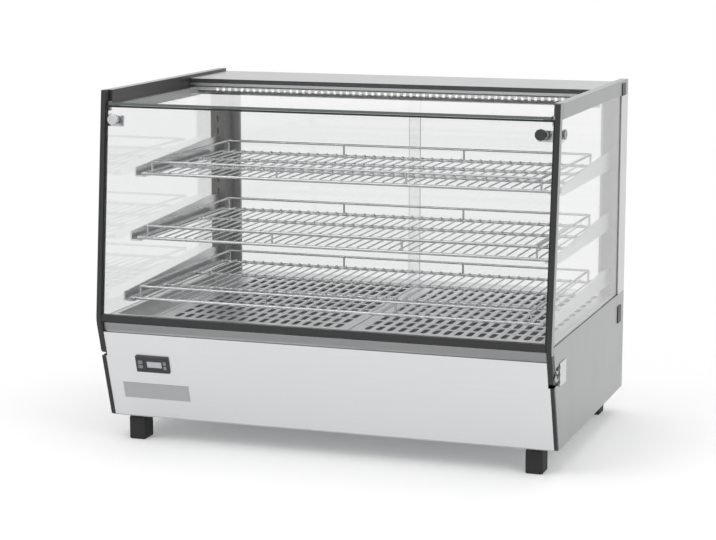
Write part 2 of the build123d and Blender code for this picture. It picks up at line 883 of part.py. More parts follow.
with BuildPart() as front_rail:
    with BuildSketch(side_plane(-pane_in)):
        with BuildLine():
            rail_low = knee_z - 1.0
            Polyline(*profile_band(rail_low, rail_low + door_rail_height, 0.0, door_rail_depth), close=True)
        make_face()
        with BuildLine():
            Polyline(*profile_band(front_pane_low - 0.3, top_z, strip_inset - 0.2, glass + 0.4), close=True)
        make_face(mode=Mode.SUBTRACT)
    extrude(amount=2 * pane_in)
save(front_rail.part, "front_bottom_rail")

knob_xs = (half - knob_inset_x, -half + knob_inset_x)
with BuildPart() as front_glass:
    with BuildSketch(side_plane(-front_pane_half)):
        with BuildLine():
            Polyline(*profile_band(front_pane_low, front_pane_high, strip_inset, glass), close=True)
        make_face()
    extrude(amount=2 * front_pane_half)
    with BuildSketch(*[knob_plane(x) for x in knob_xs]):
        Circle(stud_radius + pin_clearance)
    extrude(amount=-2 * glass, both=True, mode=Mode.SUBTRACT)
save(front_glass.part, "front_glass")

with BuildPart() as top_seal:
    with BuildSketch(side_plane(-pane_in)):
        with BuildLine():
            Polyline(*profile_band(front_pane_high, seal_top, strip_inset, glass), close=True)
        make_face()
    extrude(amount=2 * pane_in)
save(top_seal.part, "front_glass_top_seal")

with BuildPart() as knob:
    face = knob_plane(half - knob_inset_x)
    with BuildSketch(face.offset(knob_gap)):
        Circle(knob_radius)
        with PolarLocations(knob_radius + 0.4, flute_count):
            Circle(1.3, mode=Mode.SUBTRACT)
    extrude(amount=knob_length)
    with BuildSketch(face.offset(knob_gap)):
        Circle(stud_radius)
    extrude(amount=-glass - 2 * knob_gap)
    with BuildSketch(face.offset(-glass - knob_gap)):
        Circle(strike_radius)
    extrude(amount=-strike_thickness)
save_pair(knob.part, "knob")


# Hinges, catches and corner brackets

with BuildPart() as leaf:
    with BuildSketch(side_plane(half + 0.05)):
        with Locations((leaf_y, pivot_z)):
            RectangleRounded(leaf_length, leaf_height, 3.0)
    extrude(amount=leaf_thickness)
    with BuildSketch(side_plane(half + 0.05)):
        with Locations(*stud_places):
            Circle(leaf_stud_radius)
    extrude(amount=-sheet - 6.0)
    with BuildSketch(side_plane(half + 0.05)):
        with Locations(*stud_places):
            Circle(leaf_stud_radius * 2)
    extrude(amount=leaf_thickness + 0.05)
    mirror(about=Plane.YZ)
save(leaf.part, "hinge_leaves")

arm_in = door_in - fit - arm_plate
with BuildPart() as bracket:
    with BuildSketch(side_plane(arm_in)):
        with Locations((pivot_y, pivot_z)):
            Circle(arm_radius)
        with Locations(((pivot_y + leaf_y + leaf_length / 2) / 2, pivot_z)):
            Rectangle(leaf_y + leaf_length / 2 - pivot_y, 2 * arm_radius)
    extrude(amount=arm_plate)
    with BuildSketch(side_plane(arm_in + arm_plate)):
        with Locations((leaf_y, pivot_z)):
            Rectangle(leaf_length - 6.0, 2 * arm_radius)
    extrude(amount=half - sheet - fit - arm_in - arm_plate)
    with BuildSketch(side_plane(arm_in + arm_plate)):
        with Locations(*stud_places):
            Circle(leaf_stud_radius + 0.1)
    extrude(amount=strip_width, mode=Mode.SUBTRACT)
    with BuildSketch(side_plane(arm_in)):
        with Locations((pivot_y, pivot_z)):
            Circle(pin_radius)
    extrude(amount=half + pin_clearance + fit - arm_in)
    with BuildSketch(side_plane(half + fit)):
        with Locations((pivot_y, pivot_z)):
            Circle(pin_head_radius)
    extrude(amount=pin_head_height)
    mirror(about=Plane.YZ)
save(bracket.part, "hinge_brackets")

catch_plane = Plane(origin=(0, front_line(catch_z), catch_z), x_dir=(1, 0, 0), z_dir=glass_upward)
catch_face = strip_inset + glass + knob_gap + strike_thickness + 0.6
catch_side = strip_depth + clear + 0.5
catch_out = glass_in - 0.05
with BuildPart() as catch:
    with BuildSketch(catch_plane.offset(-catch_height / 2)):
        with BuildLine():
            Polyline(
                (half - catch_reach - 5.0, catch_face),
                (catch_out - 4.5, catch_face),
                (catch_out - 4.5, catch_side),
                (catch_out, catch_side),
                (catch_out, catch_side + 31.0),
                (catch_out - catch_thickness, catch_side + 31.0),
                (catch_out - catch_thickness, catch_side + 10.0),
                (catch_out - catch_thickness - 8.0, catch_side),
                (half - catch_reach - 5.0, catch_side),
                close=True,
            )
        make_face()
    extrude(amount=catch_height)
    with BuildSketch(side_plane(catch_out - catch_thickness)):
        with Locations((head_y, catch_z)):
            Circle(stud_radius + 0.1)
    extrude(amount=catch_thickness, mode=Mode.SUBTRACT)
    mirror(about=Plane.YZ)
save(catch.part, "corner_catches")

with BuildPart() as catch_screw:
    with BuildSketch(side_plane(glass_out + 0.05)):
        with Locations((head_y, catch_z)):
            Circle(head_radius)
    extrude(amount=head_thickness)
    chamfer(catch_screw.faces().sort_by(Axis.X)[-1].edges(), 1.0)
    with BuildSketch(side_plane(glass_out + 0.05)):
        with Locations((head_y, catch_z)):
            Circle(stud_radius)
    extrude(amount=-glass - catch_thickness)
    mirror(about=Plane.YZ)
save(catch_screw.part, "catch_screws")

clip_low = roof_top + 1.0 - clip_height
clip_front = front_line(roof_bottom) + strip_inset + glass + 1.4
clip_rear = front_line(rail_z) + strip_depth + clear - fit
with BuildPart() as clip:
    with BuildSketch(Plane.XY.offset(clip_low)):
        with Locations((rail_in + 0.2 + clip_width / 2, (clip_front + clip_rear) / 2)):
            Rectangle(clip_width, clip_rear - clip_front)
    extrude(amount=clip_height)
    with BuildSketch(Plane.XY.offset(roof_bottom - fit)):
        with Locations((rail_in + 0.2 - clip_leg / 2, (clip_front + clip_rear) / 2)):
            Rectangle(clip_leg, clip_rear - clip_front)
    extrude(amount=-clip_plate)
    mirror(about=Plane.YZ)
save(clip.part, "corner_brackets")


# Warm air duct, fans and heating elements under the deck

duct_floor = deck_bottom - plenum_drop
with BuildPart() as plenum:
    with BuildSketch(Plane.XY.offset(duct_floor)):
        with Locations((plenum_x, 0)):
            Rectangle(plenum_width, plenum_depth)
    extrude(amount=plenum_drop - fit)
    with BuildSketch(Plane.XY.offset(duct_floor + sheet)):
        with Locations((plenum_x, 0)):
            Rectangle(plenum_width - 2 * sheet, plenum_depth - 2 * sheet)
    extrude(amount=plenum_drop, mode=Mode.SUBTRACT)
    with BuildSketch(Plane.XY.offset(duct_floor)):
        with Locations(*[(x, 0) for x in fan_xs]):
            Circle(fan_bore)
    extrude(amount=sheet, mode=Mode.SUBTRACT)
save(plenum.part, "air_duct")

fan_low = duct_floor - fit - fan_height
with BuildPart() as fan_frames:
    with BuildSketch(Plane.XY.offset(fan_low)):
        with Locations(*[(x, 0) for x in fan_xs]):
            RectangleRounded(fan_size, fan_size, 6.0)
            Circle(fan_bore, mode=Mode.SUBTRACT)
    extrude(amount=fan_height)
    with BuildSketch(Plane.XY.offset(fan_low)):
        with Locations(*[(x, 0) for x in fan_xs]):
            Circle(hub_radius)
            Rectangle(2 * fan_bore + 2, 6.0)
            Rectangle(6.0, 2 * fan_bore + 2)
    extrude(amount=4.0)
    with BuildSketch(Plane.XY.offset(fan_low)):
        with Locations(*[(x, 0) for x in fan_xs]):
            Circle(shaft_radius)
    extrude(amount=24.0)
save(fan_frames.part, "fan_frames")

for name, x in zip(("left", "right"), fan_xs):
    with BuildPart() as rotor:
        with BuildSketch(Plane.XY.offset(fan_low + 5.0)):
            with Locations((x, 0)):
                Circle(hub_radius)
        extrude(amount=fan_height - 9.0)
        blade_length = rotor_radius - hub_radius + 2.0
        with Locations((x, 0, fan_low + fan_height / 2)):
            with PolarLocations(rotor_radius - blade_length / 2, blade_count):
                Box(blade_length, 2.0, 24.0, rotation=(blade_angle, 0, 0))
        with BuildSketch(Plane.XY.offset(fan_low + 5.0)):
            with Locations((x, 0)):
                Circle(shaft_radius + pin_clearance)
        extrude(amount=20.0, mode=Mode.SUBTRACT)
    save(rotor.part, f"{name}_fan_rotor")

element_z = duct_floor + element_rise
with BuildPart() as elements:
    for x in fan_xs:
        with BuildLine() as hairpin:
            FilletPolyline(
                (x - element_width / 2, -element_depth / 2, element_z),
                (x - element_width / 2, element_depth / 2, element_z),
                (x + element_width / 2, element_depth / 2, element_z),
                (x + element_width / 2, -element_depth / 2, element_z),
                radius=40.0,
            )
        with BuildSketch(Plane(origin=hairpin.line @ 0, x_dir=(1, 0, 0), z_dir=(0, 1, 0))):
            Circle(element_radius)
        sweep()
        with BuildSketch(Plane.XY.offset(duct_floor + sheet + 0.05)):
            with Locations((x, 0)):
                with GridLocations(element_width, element_depth / 2, 2, 2):
                    Circle(element_radius - 1.0)
        extrude(amount=element_rise - sheet - 0.05)
save(elements.part, "heating_elements")


# Rear switches and power inlet

rocker_xs = (rocker_x - rocker_pitch / 2, rocker_x + rocker_pitch / 2)
rocker_face = Plane(origin=(0, back_face, 0), x_dir=(-1, 0, 0), z_dir=(0, 1, 0))
paddle_y = back_face + 0.5
with BuildPart() as switch_bodies:
    places = [(-x, rocker_z) for x in rocker_xs]
    with BuildSketch(rocker_face.offset(0.05)):
        with Locations(*places):
            Rectangle(rocker_cut_width + 2 * rocker_bezel, rocker_cut_height + 2 * rocker_bezel)
    extrude(amount=1.5)
    with BuildSketch(rocker_face.offset(0.05)):
        with Locations(*places):
            Rectangle(rocker_cut_width - 2 * fit, rocker_cut_height - 2 * fit)
    extrude(amount=-rocker_body)
    with BuildSketch(rocker_face.offset(1.6)):
        with Locations(*places):
            Rectangle(rocker_width + 2 * fit, rocker_height + 2 * rocker_play)
    extrude(amount=-9.0, mode=Mode.SUBTRACT)
    for x in rocker_xs:
        with BuildSketch(side_plane(x - rocker_width / 2 - 1.3 - fit)):
            with Locations((paddle_y, rocker_z)):
                Circle(rocker_pin + pin_clearance)
        extrude(amount=rocker_width + 2.6 + 2 * fit, mode=Mode.SUBTRACT)
save(switch_bodies.part, "switch_bodies")

for name, x in zip(("heat", "light"), rocker_xs):
    with BuildPart() as rocker:
        with BuildSketch(side_plane(x - rocker_width / 2)):
            with Locations((paddle_y - rocker_thickness / 4 + 1.25, rocker_z)):
                RectangleRounded(rocker_thickness, rocker_height, 1.2)
        extrude(amount=rocker_width)
        with BuildSketch(side_plane(x - rocker_width / 2 - 1.1)):
            with Locations((paddle_y, rocker_z)):
                Circle(rocker_pin)
        extrude(amount=rocker_width + 2.2)
    save(rocker.part, f"{name}_rocker")

with BuildPart() as inlet:
    with BuildSketch(rocker_face.offset(0.05)):
        with Locations((-inlet_x, rocker_z)):
            RectangleRounded(inlet_width + 2 * inlet_flange, inlet_height + inlet_flange, 2.0)
    extrude(amount=2.0)
    with BuildSketch(rocker_face.offset(0.05)):
        with Locations((-inlet_x, rocker_z)):
            Rectangle(inlet_width, inlet_height)
    extrude(amount=-inlet_depth)
    with BuildSketch(rocker_face.offset(2.05)):
        with Locations((-inlet_x, rocker_z)):
            Rectangle(inlet_width - 2 * inlet_wall, inlet_height - 2 * inlet_wall)
    extrude(amount=-inlet_depth + 1.0, mode=Mode.SUBTRACT)
    with BuildSketch(rocker_face.offset(3.0 - inlet_depth)):
        with Locations((-inlet_x - 7, rocker_z - 2), (-inlet_x, rocker_z + 2), (-inlet_x + 7, rocker_z - 2)):
            Rectangle(2.0, 4.0)
    extrude(amount=inlet_depth - 6.0)
save(inlet.part, "power_inlet")
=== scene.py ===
"""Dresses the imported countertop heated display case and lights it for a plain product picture."""

import json
import logging
import math
from collections.abc import Callable, Iterable, Sequence
from dataclasses import dataclass, field
from enum import Enum
from typing import Any

import bpy
from mathutils import Matrix, Vector

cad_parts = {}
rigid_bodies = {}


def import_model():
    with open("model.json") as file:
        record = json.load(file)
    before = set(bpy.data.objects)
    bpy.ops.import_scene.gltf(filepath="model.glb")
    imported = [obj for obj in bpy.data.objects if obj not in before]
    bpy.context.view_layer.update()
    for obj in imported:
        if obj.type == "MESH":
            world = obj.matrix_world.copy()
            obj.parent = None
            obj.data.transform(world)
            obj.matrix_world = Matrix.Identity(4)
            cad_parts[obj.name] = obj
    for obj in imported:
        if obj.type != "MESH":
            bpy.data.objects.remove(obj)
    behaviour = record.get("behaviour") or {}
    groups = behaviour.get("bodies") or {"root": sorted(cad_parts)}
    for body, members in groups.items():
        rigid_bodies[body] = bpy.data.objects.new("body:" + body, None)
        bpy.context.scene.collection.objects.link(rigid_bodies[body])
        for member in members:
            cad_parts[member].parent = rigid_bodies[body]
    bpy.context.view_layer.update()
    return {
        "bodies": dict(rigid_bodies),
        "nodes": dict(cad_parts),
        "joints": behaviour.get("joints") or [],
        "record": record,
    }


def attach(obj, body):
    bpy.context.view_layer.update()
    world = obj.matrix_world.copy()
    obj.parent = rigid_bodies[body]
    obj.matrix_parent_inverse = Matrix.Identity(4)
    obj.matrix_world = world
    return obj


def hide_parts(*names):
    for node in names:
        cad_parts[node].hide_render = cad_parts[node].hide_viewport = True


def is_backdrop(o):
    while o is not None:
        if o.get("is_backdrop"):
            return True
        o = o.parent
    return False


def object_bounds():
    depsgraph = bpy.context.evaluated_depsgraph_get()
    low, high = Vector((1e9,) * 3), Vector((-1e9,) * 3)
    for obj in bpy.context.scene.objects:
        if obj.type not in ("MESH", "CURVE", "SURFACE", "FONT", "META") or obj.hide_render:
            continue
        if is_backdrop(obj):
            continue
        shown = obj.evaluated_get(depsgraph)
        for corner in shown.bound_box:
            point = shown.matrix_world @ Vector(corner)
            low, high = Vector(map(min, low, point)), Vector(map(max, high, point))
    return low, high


MM = 0.001
SHARP_ANGLE = math.radians(25)
SMOOTH_ANGLE = math.radians(40)
WHITE = (1.0, 1.0, 1.0, 1.0)
log = logging.getLogger("display_case")

Pair = tuple[float, float]
Triple = tuple[float, float, float]
Piece = bpy.types.Object
Socket = bpy.types.NodeSocket
Sockets = bpy.types.bpy_prop_collection
FaceTest = Callable[[Vector, Vector], bool]


class Body(Enum):
    """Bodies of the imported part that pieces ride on."""

    CABINET = "cabinet"
    FRONT_DOOR = "front_door"
    LEFT_KNOB = "left_knob"
    RIGHT_KNOB = "right_knob"
    LEFT_REAR_DOOR = "left_rear_door"
    RIGHT_REAR_DOOR = "right_rear_door"
    SET_KEY = "set_key"
    POWER_KEY = "power_key"
    UP_KEY = "up_key"
    DOWN_KEY = "down_key"


class Slot(Enum):
    """Material slots of the record."""

    STAINLESS = "stainless"
    DARK_STEEL = "dark_steel"
    RAIL = "rail_aluminium"
    BLACK_TRIM = "black_trim"
    RUBBER = "rubber_black"
    GLASS = "clear_glass"
    CHROME = "chrome"
    WIRE = "chrome_wire"
    CONTROL = "control_black"
    WINDOW = "display_window"
    KEY = "key_grey"
    PLATE = "plate_grey"
    LED = "led_white"
    GALVANISED = "galvanised"
    FAN = "fan_black"
    ELEMENT = "element_steel"
    ROCKER = "rocker_black"


@dataclass(frozen=True)
class CaseSizes:
    """Main sizes of the case in millimetres, as the solids have them."""

    half_width: float = 431.0
    front: float = -301.0
    rear: float = 301.0
    foot_height: float = 48.0
    knee: float = 239.0
    top: float = 661.0
    base_lean: float = 59.0
    glass_lean: float = 41.0
    strip_depth: float = 16.0
    rail_height: float = 28.0
    rail_inner: float = 415.0
    door_inner: float = 421.0
    pane_inner: float = 420.7
    roof_low: float = 634.0
    deck: float = 243.0
    pivot_z: float = 186.0

    def front_line(self, z: float) -> float:
        """Follows the front profile, which bends at the knee.

        Args:
            z: A height above the table.

        Returns:
            Y of the profile at that height.
        """
        if z <= self.knee:
            return self.front + self.base_lean * (self.knee - z) / (self.knee - self.foot_height)
        return self.front + self.glass_lean * (z - self.knee) / (self.top - self.knee)

    @property
    def rail_low(self) -> float:
        """Underside of the top rails."""
        return self.top - self.rail_height

    @property
    def glass_outward(self) -> Vector:
        """Unit normal of the front glass, pointing at the customer."""
        return Vector((0, -(self.top - self.knee), self.glass_lean)).normalized()

    @property
    def panel_outward(self) -> Vector:
        """Unit normal of the lower front panel, pointing at the customer."""
        return Vector((0, -(self.knee - self.foot_height), -self.base_lean)).normalized()


def metres(point: Sequence[float]) -> Vector:
    """Turns millimetres into Blender's metres."""
    return Vector(point) * MM


class Workbench:
    """Makes closed shapes with Blender's own primitives, edit tools and modifiers."""

    @staticmethod
    def clear() -> None:
        """Leaves nothing selected, so that an operator acts on the new shape alone."""
        if bpy.context.object is not None and bpy.context.object.mode != "OBJECT":
            bpy.ops.object.mode_set(mode="OBJECT")
        bpy.ops.object.select_all(action="DESELECT")

    @classmethod
    def pick(cls, piece: Piece) -> None:
        """Selects one piece and makes it active.

        Args:
            piece: The piece.
        """
        cls.clear()
        piece.select_set(True)
        bpy.context.view_layer.objects.active = piece

    @staticmethod
    def edit(select: str) -> None:
        """Goes into edit mode with all or nothing selected."""
        bpy.ops.object.mode_set(mode="EDIT")
        bpy.ops.mesh.select_all(action=select)

    @staticmethod
    def settle() -> None:
        """Moves the place, turn and size of the selected shape into its mesh."""
        bpy.ops.object.transform_apply(location=True, rotation=True, scale=True)

    @staticmethod
    def label(piece: Piece, name: str) -> Piece:
        """Gives a piece and its mesh one name."""
        piece.name = piece.data.name = name
        return piece

    @classmethod
    def apply(cls, piece: Piece, kind: str, **settings: object) -> None:
        """Adds a modifier with the given settings and applies it.

        Args:
            piece: The shape to change.
            kind: Blender's name of the modifier type.
            **settings: Values for the modifier's fields.
        """
        cls.pick(piece)
        modifier = piece.modifiers.new("work", kind)
        for key, value in settings.items():
            setattr(modifier, key, value)
        bpy.ops.object.modifier_apply(modifier=modifier.name)

    @classmethod
    def finish(cls, piece: Piece, name: str, edge: float = 0.0, steps: int = 2) -> Piece:
        """Settles a shape into its mesh, rounds its sharp edges and smooths what is left.

        Args:
            piece: The shape to finish.
            name: Its new name.
            edge: Width of the rounding in millimetres, or 0 for none.
            steps: Faces across the rounding.

        Returns:
            The finished shape.
        """
        cls.pick(piece)
        cls.settle()
        if edge:
            rounding = dict(limit_method="ANGLE", angle_limit=SHARP_ANGLE)
            cls.apply(piece, "BEVEL", width=edge * MM, segments=steps, **rounding)
        cls.pick(piece)
        bpy.ops.object.shade_smooth_by_angle(angle=SMOOTH_ANGLE)
        return cls.label(piece, name)

    @classmethod
    def flatten_faces(cls, piece: Piece) -> None:
        """Lets the large faces rule the shading, so that flats stay flat beside rounded edges."""
        cls.apply(piece, "WEIGHTED_NORMAL", keep_sharp=True)

    @classmethod
    def face_out(cls, piece: Piece) -> None:
        """Turns every face of a closed shape outwards.

        Args:
            piece: The shape.
        """
        cls.pick(piece)
        cls.edit("SELECT")
        bpy.ops.mesh.normals_make_consistent(inside=False)
        bpy.ops.object.mode_set(mode="OBJECT")

    @classmethod
    def block(
        cls,
        name: str,
        low: Sequence[float],
        high: Sequence[float],
        edge: float = 0.5,
        steps: int = 2,
    ) -> Piece:
        """Makes a box with rounded edges.

        Args:
            name: Name of the piece.
            low: Its lowest corner in millimetres.
            high: Its highest corner.
            edge: Rounding of its edges.
            steps: Faces across the rounding.

        Returns:
            The finished box.
        """
        cls.clear()
        lo, hi = metres(low), metres(high)
        bpy.ops.mesh.primitive_cube_add(size=1.0, location=(lo + hi) / 2)
        piece = bpy.context.object
        piece.scale = hi - lo
        return cls.finish(piece, name, edge, steps)

    @classmethod
    def rod(
        cls,
        name: str,
        start: Sequence[float],
        end: Sequence[float],
        radius: float,
        sides: int = 16,
        edge: float = 0.0,
        steps: int = 2,
    ) -> Piece:
        """Makes a round bar.

        Args:
            name: Name of the piece.
            start: Middle of one end in millimetres.
            end: Middle of the other end.
            radius: Radius of the bar.
            sides: Faces round the bar.
            edge: Rounding of the ends.
            steps: Faces across the rounding.

        Returns:
            The finished bar.
        """
        cls.clear()
        a, b = metres(start), metres(end)
        bpy.ops.mesh.primitive_cylinder_add(
            vertices=sides,
            radius=radius * MM,
            depth=(b - a).length,
            location=(a + b) / 2,
            rotation=(b - a).to_track_quat("Z", "Y").to_euler(),
        )
        return cls.finish(bpy.context.object, name, edge, steps)

    @classmethod
    def ball(cls, name: str, centre: Sequence[float], radius: float) -> Piece:
        """Makes a small closed ball, for the ends and corners of wires.

        Args:
            name: Name of the piece.
            centre: Its middle in millimetres.
            radius: Its radius.

        Returns:
            The finished ball.
        """
        cls.clear()
        bpy.ops.mesh.primitive_uv_sphere_add(
            segments=12, ring_count=8, radius=radius * MM, location=metres(centre)
        )
        return cls.finish(bpy.context.object, name)

    @classmethod
    def run(
        cls,
        name: str,
        low: Sequence[float],
        high: Sequence[float],
        moves: Iterable[Triple],
        edge: float = 0.5,
        bend: Pair | None = None,
    ) -> Piece:
        """Makes a bar by drawing a flat rectangle along straight moves.

        Args:
            name: Name of the piece.
            low: Lowest corner of the level start rectangle, in millimetres.
            high: Highest corner of it.
            moves: Steps that the rectangle is extruded by, in millimetres.
            edge: Rounding of the long edges.
            bend: Height of a bend that is rounded, and how far back its rounding starts.

        Returns:
            The finished bar.
        """
        cls.clear()
        lo, hi = metres(low), metres(high)
        bpy.ops.mesh.primitive_plane_add(size=1.0, location=(lo + hi) / 2)
        piece = bpy.context.object
        piece.scale = (hi.x - lo.x, hi.y - lo.y, 1.0)
        cls.settle()
        cls.edit("SELECT")
        for move in moves:
            bpy.ops.mesh.extrude_region_move(TRANSFORM_OT_translate={"value": metres(move)})
        cls.face_out(piece)
        if bend:
            cls.round_bend(piece, *bend)
        return cls.finish(piece, name, edge)

    @classmethod
    def round_bend(cls, piece: Piece, height: float, reach: float) -> None:
        """Rounds the cross edges of a bar at one height.

        Args:
            piece: The bar.
            height: Height of the bend in millimetres.
            reach: How far from the bend its rounding starts.
        """
        cls.pick(piece)
        cls.edit("DESELECT")
        bpy.ops.object.mode_set(mode="OBJECT")
        spots = [v.co for v in piece.data.vertices]
        for edge in piece.data.edges:
            a, b = (spots[i] for i in edge.vertices)
            level = all(abs(spot.z - height * MM) < 1e-4 for spot in (a, b))
            edge.select = level and abs(a.y - b.y) < 1e-5
        bpy.ops.object.mode_set(mode="EDIT")
        bpy.ops.mesh.bevel(offset=reach * MM, segments=6, affect="EDGES")
        bpy.ops.object.mode_set(mode="OBJECT")

    @classmethod
    def trim(cls, piece: Piece, point: Sequence[float], normal: Vector) -> None:
        """Cuts a piece off along a plane and closes the cut.

        Args:
            piece: The piece to cut.
            point: A point on the plane, in millimetres.
            normal: The plane's unit normal; what lies on its side is taken away.
        """
        cls.pick(piece)
        cls.edit("SELECT")
        bpy.ops.mesh.bisect(
            plane_co=metres(point), plane_no=normal, use_fill=True, clear_outer=True
        )
        bpy.ops.object.mode_set(mode="OBJECT")

    @classmethod
    def join(cls, name: str, pieces: Sequence[Piece]) -> Piece:
        """Joins several shapes into one piece.

        Args:
            name: Name of the joined piece.
            pieces: Two or more shapes.

        Returns:
            The joined piece.
        """
        cls.clear()
        for piece in pieces:
            piece.select_set(True)
        bpy.context.view_layer.objects.active = pieces[0]
        bpy.ops.object.join()
        return cls.label(pieces[0], name)

    @classmethod
    def duplicate(cls, piece: Piece, name: str) -> Piece:
        """Doubles a piece and its mesh in place.

        Args:
            piece: The piece.
            name: Name of the double.

        Returns:
            The double, which is left selected.
        """
        cls.pick(piece)
        bpy.ops.object.duplicate(linked=False)
        return cls.label(bpy.context.object, name)

    @classmethod
    def copy(cls, piece: Piece, name: str, move: Sequence[float]) -> Piece:
        """Makes a copy with its own mesh at another place.

        Args:
            piece: The piece to copy.
            name: Name of the copy.
            move: How far it is moved, in millimetres.

        Returns:
            The copy.
        """
        twin = cls.duplicate(piece, name)
        twin.location = metres(move)
        cls.settle()
        return twin

    @classmethod
    def row(cls, name: str, piece: Piece, moves: Iterable[Sequence[float]]) -> Piece:
        """Joins copies of a piece at several places and deletes the piece itself.

        Args:
            name: Name of the joined row.
            piece: The piece to copy.
            moves: Where the copies go, in millimetres.

        Returns:
            The row as one piece.
        """
        copies = [cls.copy(piece, name, move) for move in moves]
        bpy.data.objects.remove(piece, do_unlink=True)
        return cls.join(name, copies)

    @classmethod
    def mirror(cls, piece: Piece, name: str) -> Piece:
        """Makes the piece's mirror image on the other side of the case.

        Args:
            piece: The piece on the right.
            name: Name of its twin.

        Returns:
            The twin, with its faces turned outwards again.
        """
        twin = cls.duplicate(piece, name)
        twin.scale = (-1.0, 1.0, 1.0)
        cls.settle()
        cls.face_out(twin)
        return twin

    @classmethod
    def array(cls, piece: Piece, count: int, move: Sequence[float]) -> None:
        """Repeats a shape in its own mesh.

        Args:
            piece: The shape.
            count: How many there are in the end.
            move: Step from one to the next, in millimetres.
        """
        steps = dict(use_relative_offset=False, use_constant_offset=True)
        cls.apply(piece, "ARRAY", count=count, constant_offset_displace=metres(move), **steps)

    @classmethod
    def cut(cls, piece: Piece, cutters: Sequence[Piece]) -> None:
        """Cuts the shapes of some cutters out of a piece and deletes them.

        Args:
            piece: The piece to cut.
            cutters: The shapes that are cut out, one after the other.
        """
        for cutter in cutters:
            cls.apply(piece, "BOOLEAN", operation="DIFFERENCE", solver="EXACT", object=cutter)
            bpy.data.objects.remove(cutter, do_unlink=True)

    @classmethod
    def place(cls, piece: Piece, frame: Matrix) -> Piece:
        """Moves a piece made at the origin to a frame, in its mesh.

        Args:
            piece: The piece.
            frame: Where it goes, in metres.

        Returns:
            The piece.
        """
        cls.pick(piece)
        piece.matrix_world = frame
        cls.settle()
        return piece


class ShaderBoard:
    """A short way to add and wire shader nodes in one tree."""

    def __init__(self, tree: bpy.types.NodeTree) -> None:
        """Keeps the tree that nodes are added to."""
        self.tree = tree

    def add(
        self, kind: str, values: dict[Any, Any] | None = None, **settings: object
    ) -> bpy.types.Node:
        """Adds a node.

        Args:
            kind: Blender's node type.
            values: Input names or numbers with a plain value or a socket to link.
            **settings: Fields of the node itself.

        Returns:
            The new node.
        """
        node = self.tree.nodes.new(kind)
        for key, value in settings.items():
            setattr(node, key, value)
        for key, value in (values or {}).items():
            if isinstance(value, Socket):
                self.tree.links.new(value, node.inputs[key])
            else:
                node.inputs[key].default_value = value
        return node

    def link(self, source: Socket, target: Socket) -> None:
        """Wires an output to an input."""
        self.tree.links.new(source, target)

    def group(self, tree: bpy.types.NodeTree, values: dict[str, Any]) -> Sockets:
        """Outputs of a shared group that is placed with its own values."""
        return self.add("ShaderNodeGroup", values, node_tree=tree).outputs

    def math(self, operation: str, *values: Any, clamp: bool = False) -> Socket:
        """Result of a Math node on plain values or sockets, held to 0..1 if asked."""
        inputs = dict(enumerate(values))
        return self.add("ShaderNodeMath", inputs, operation=operation, use_clamp=clamp).outputs[0]

    def noise(self, place: Socket, scale: Any, detail: float) -> Socket:
        """Value of a Noise Texture at a place."""
        values = {"Vector": place, "Scale": scale, "Detail": detail}
        return self.add("ShaderNodeTexNoise", values).outputs["Fac"]

    def ramp(self, value: Socket, low: float, high: float) -> Socket:
        """Maps low..high to 0..1."""
        values = {"Value": value, "From Min": low, "From Max": high}
        return self.add("ShaderNodeMapRange", values).outputs["Result"]

    def spread(self, value: Socket, low: float, high: float) -> Socket:
        """Maps 0..1 to low..high."""
        values = {"Value": value, "To Min": low, "To Max": high}
        return self.add("ShaderNodeMapRange", values).outputs["Result"]

    def blend(self, mask: Socket, first: Any, second: Any) -> Socket:
        """A colour that goes from first to second with a mask."""
        values = {"Factor": mask, 6: first, 7: second}
        return self.add("ShaderNodeMix", values, data_type="RGBA").outputs[2]

    def choose(self, mask: Socket, first: Socket, second: Socket) -> Socket:
        """A shader that goes from first to second with a mask."""
        return self.add("ShaderNodeMixShader", {0: mask, 1: first, 2: second}).outputs[0]


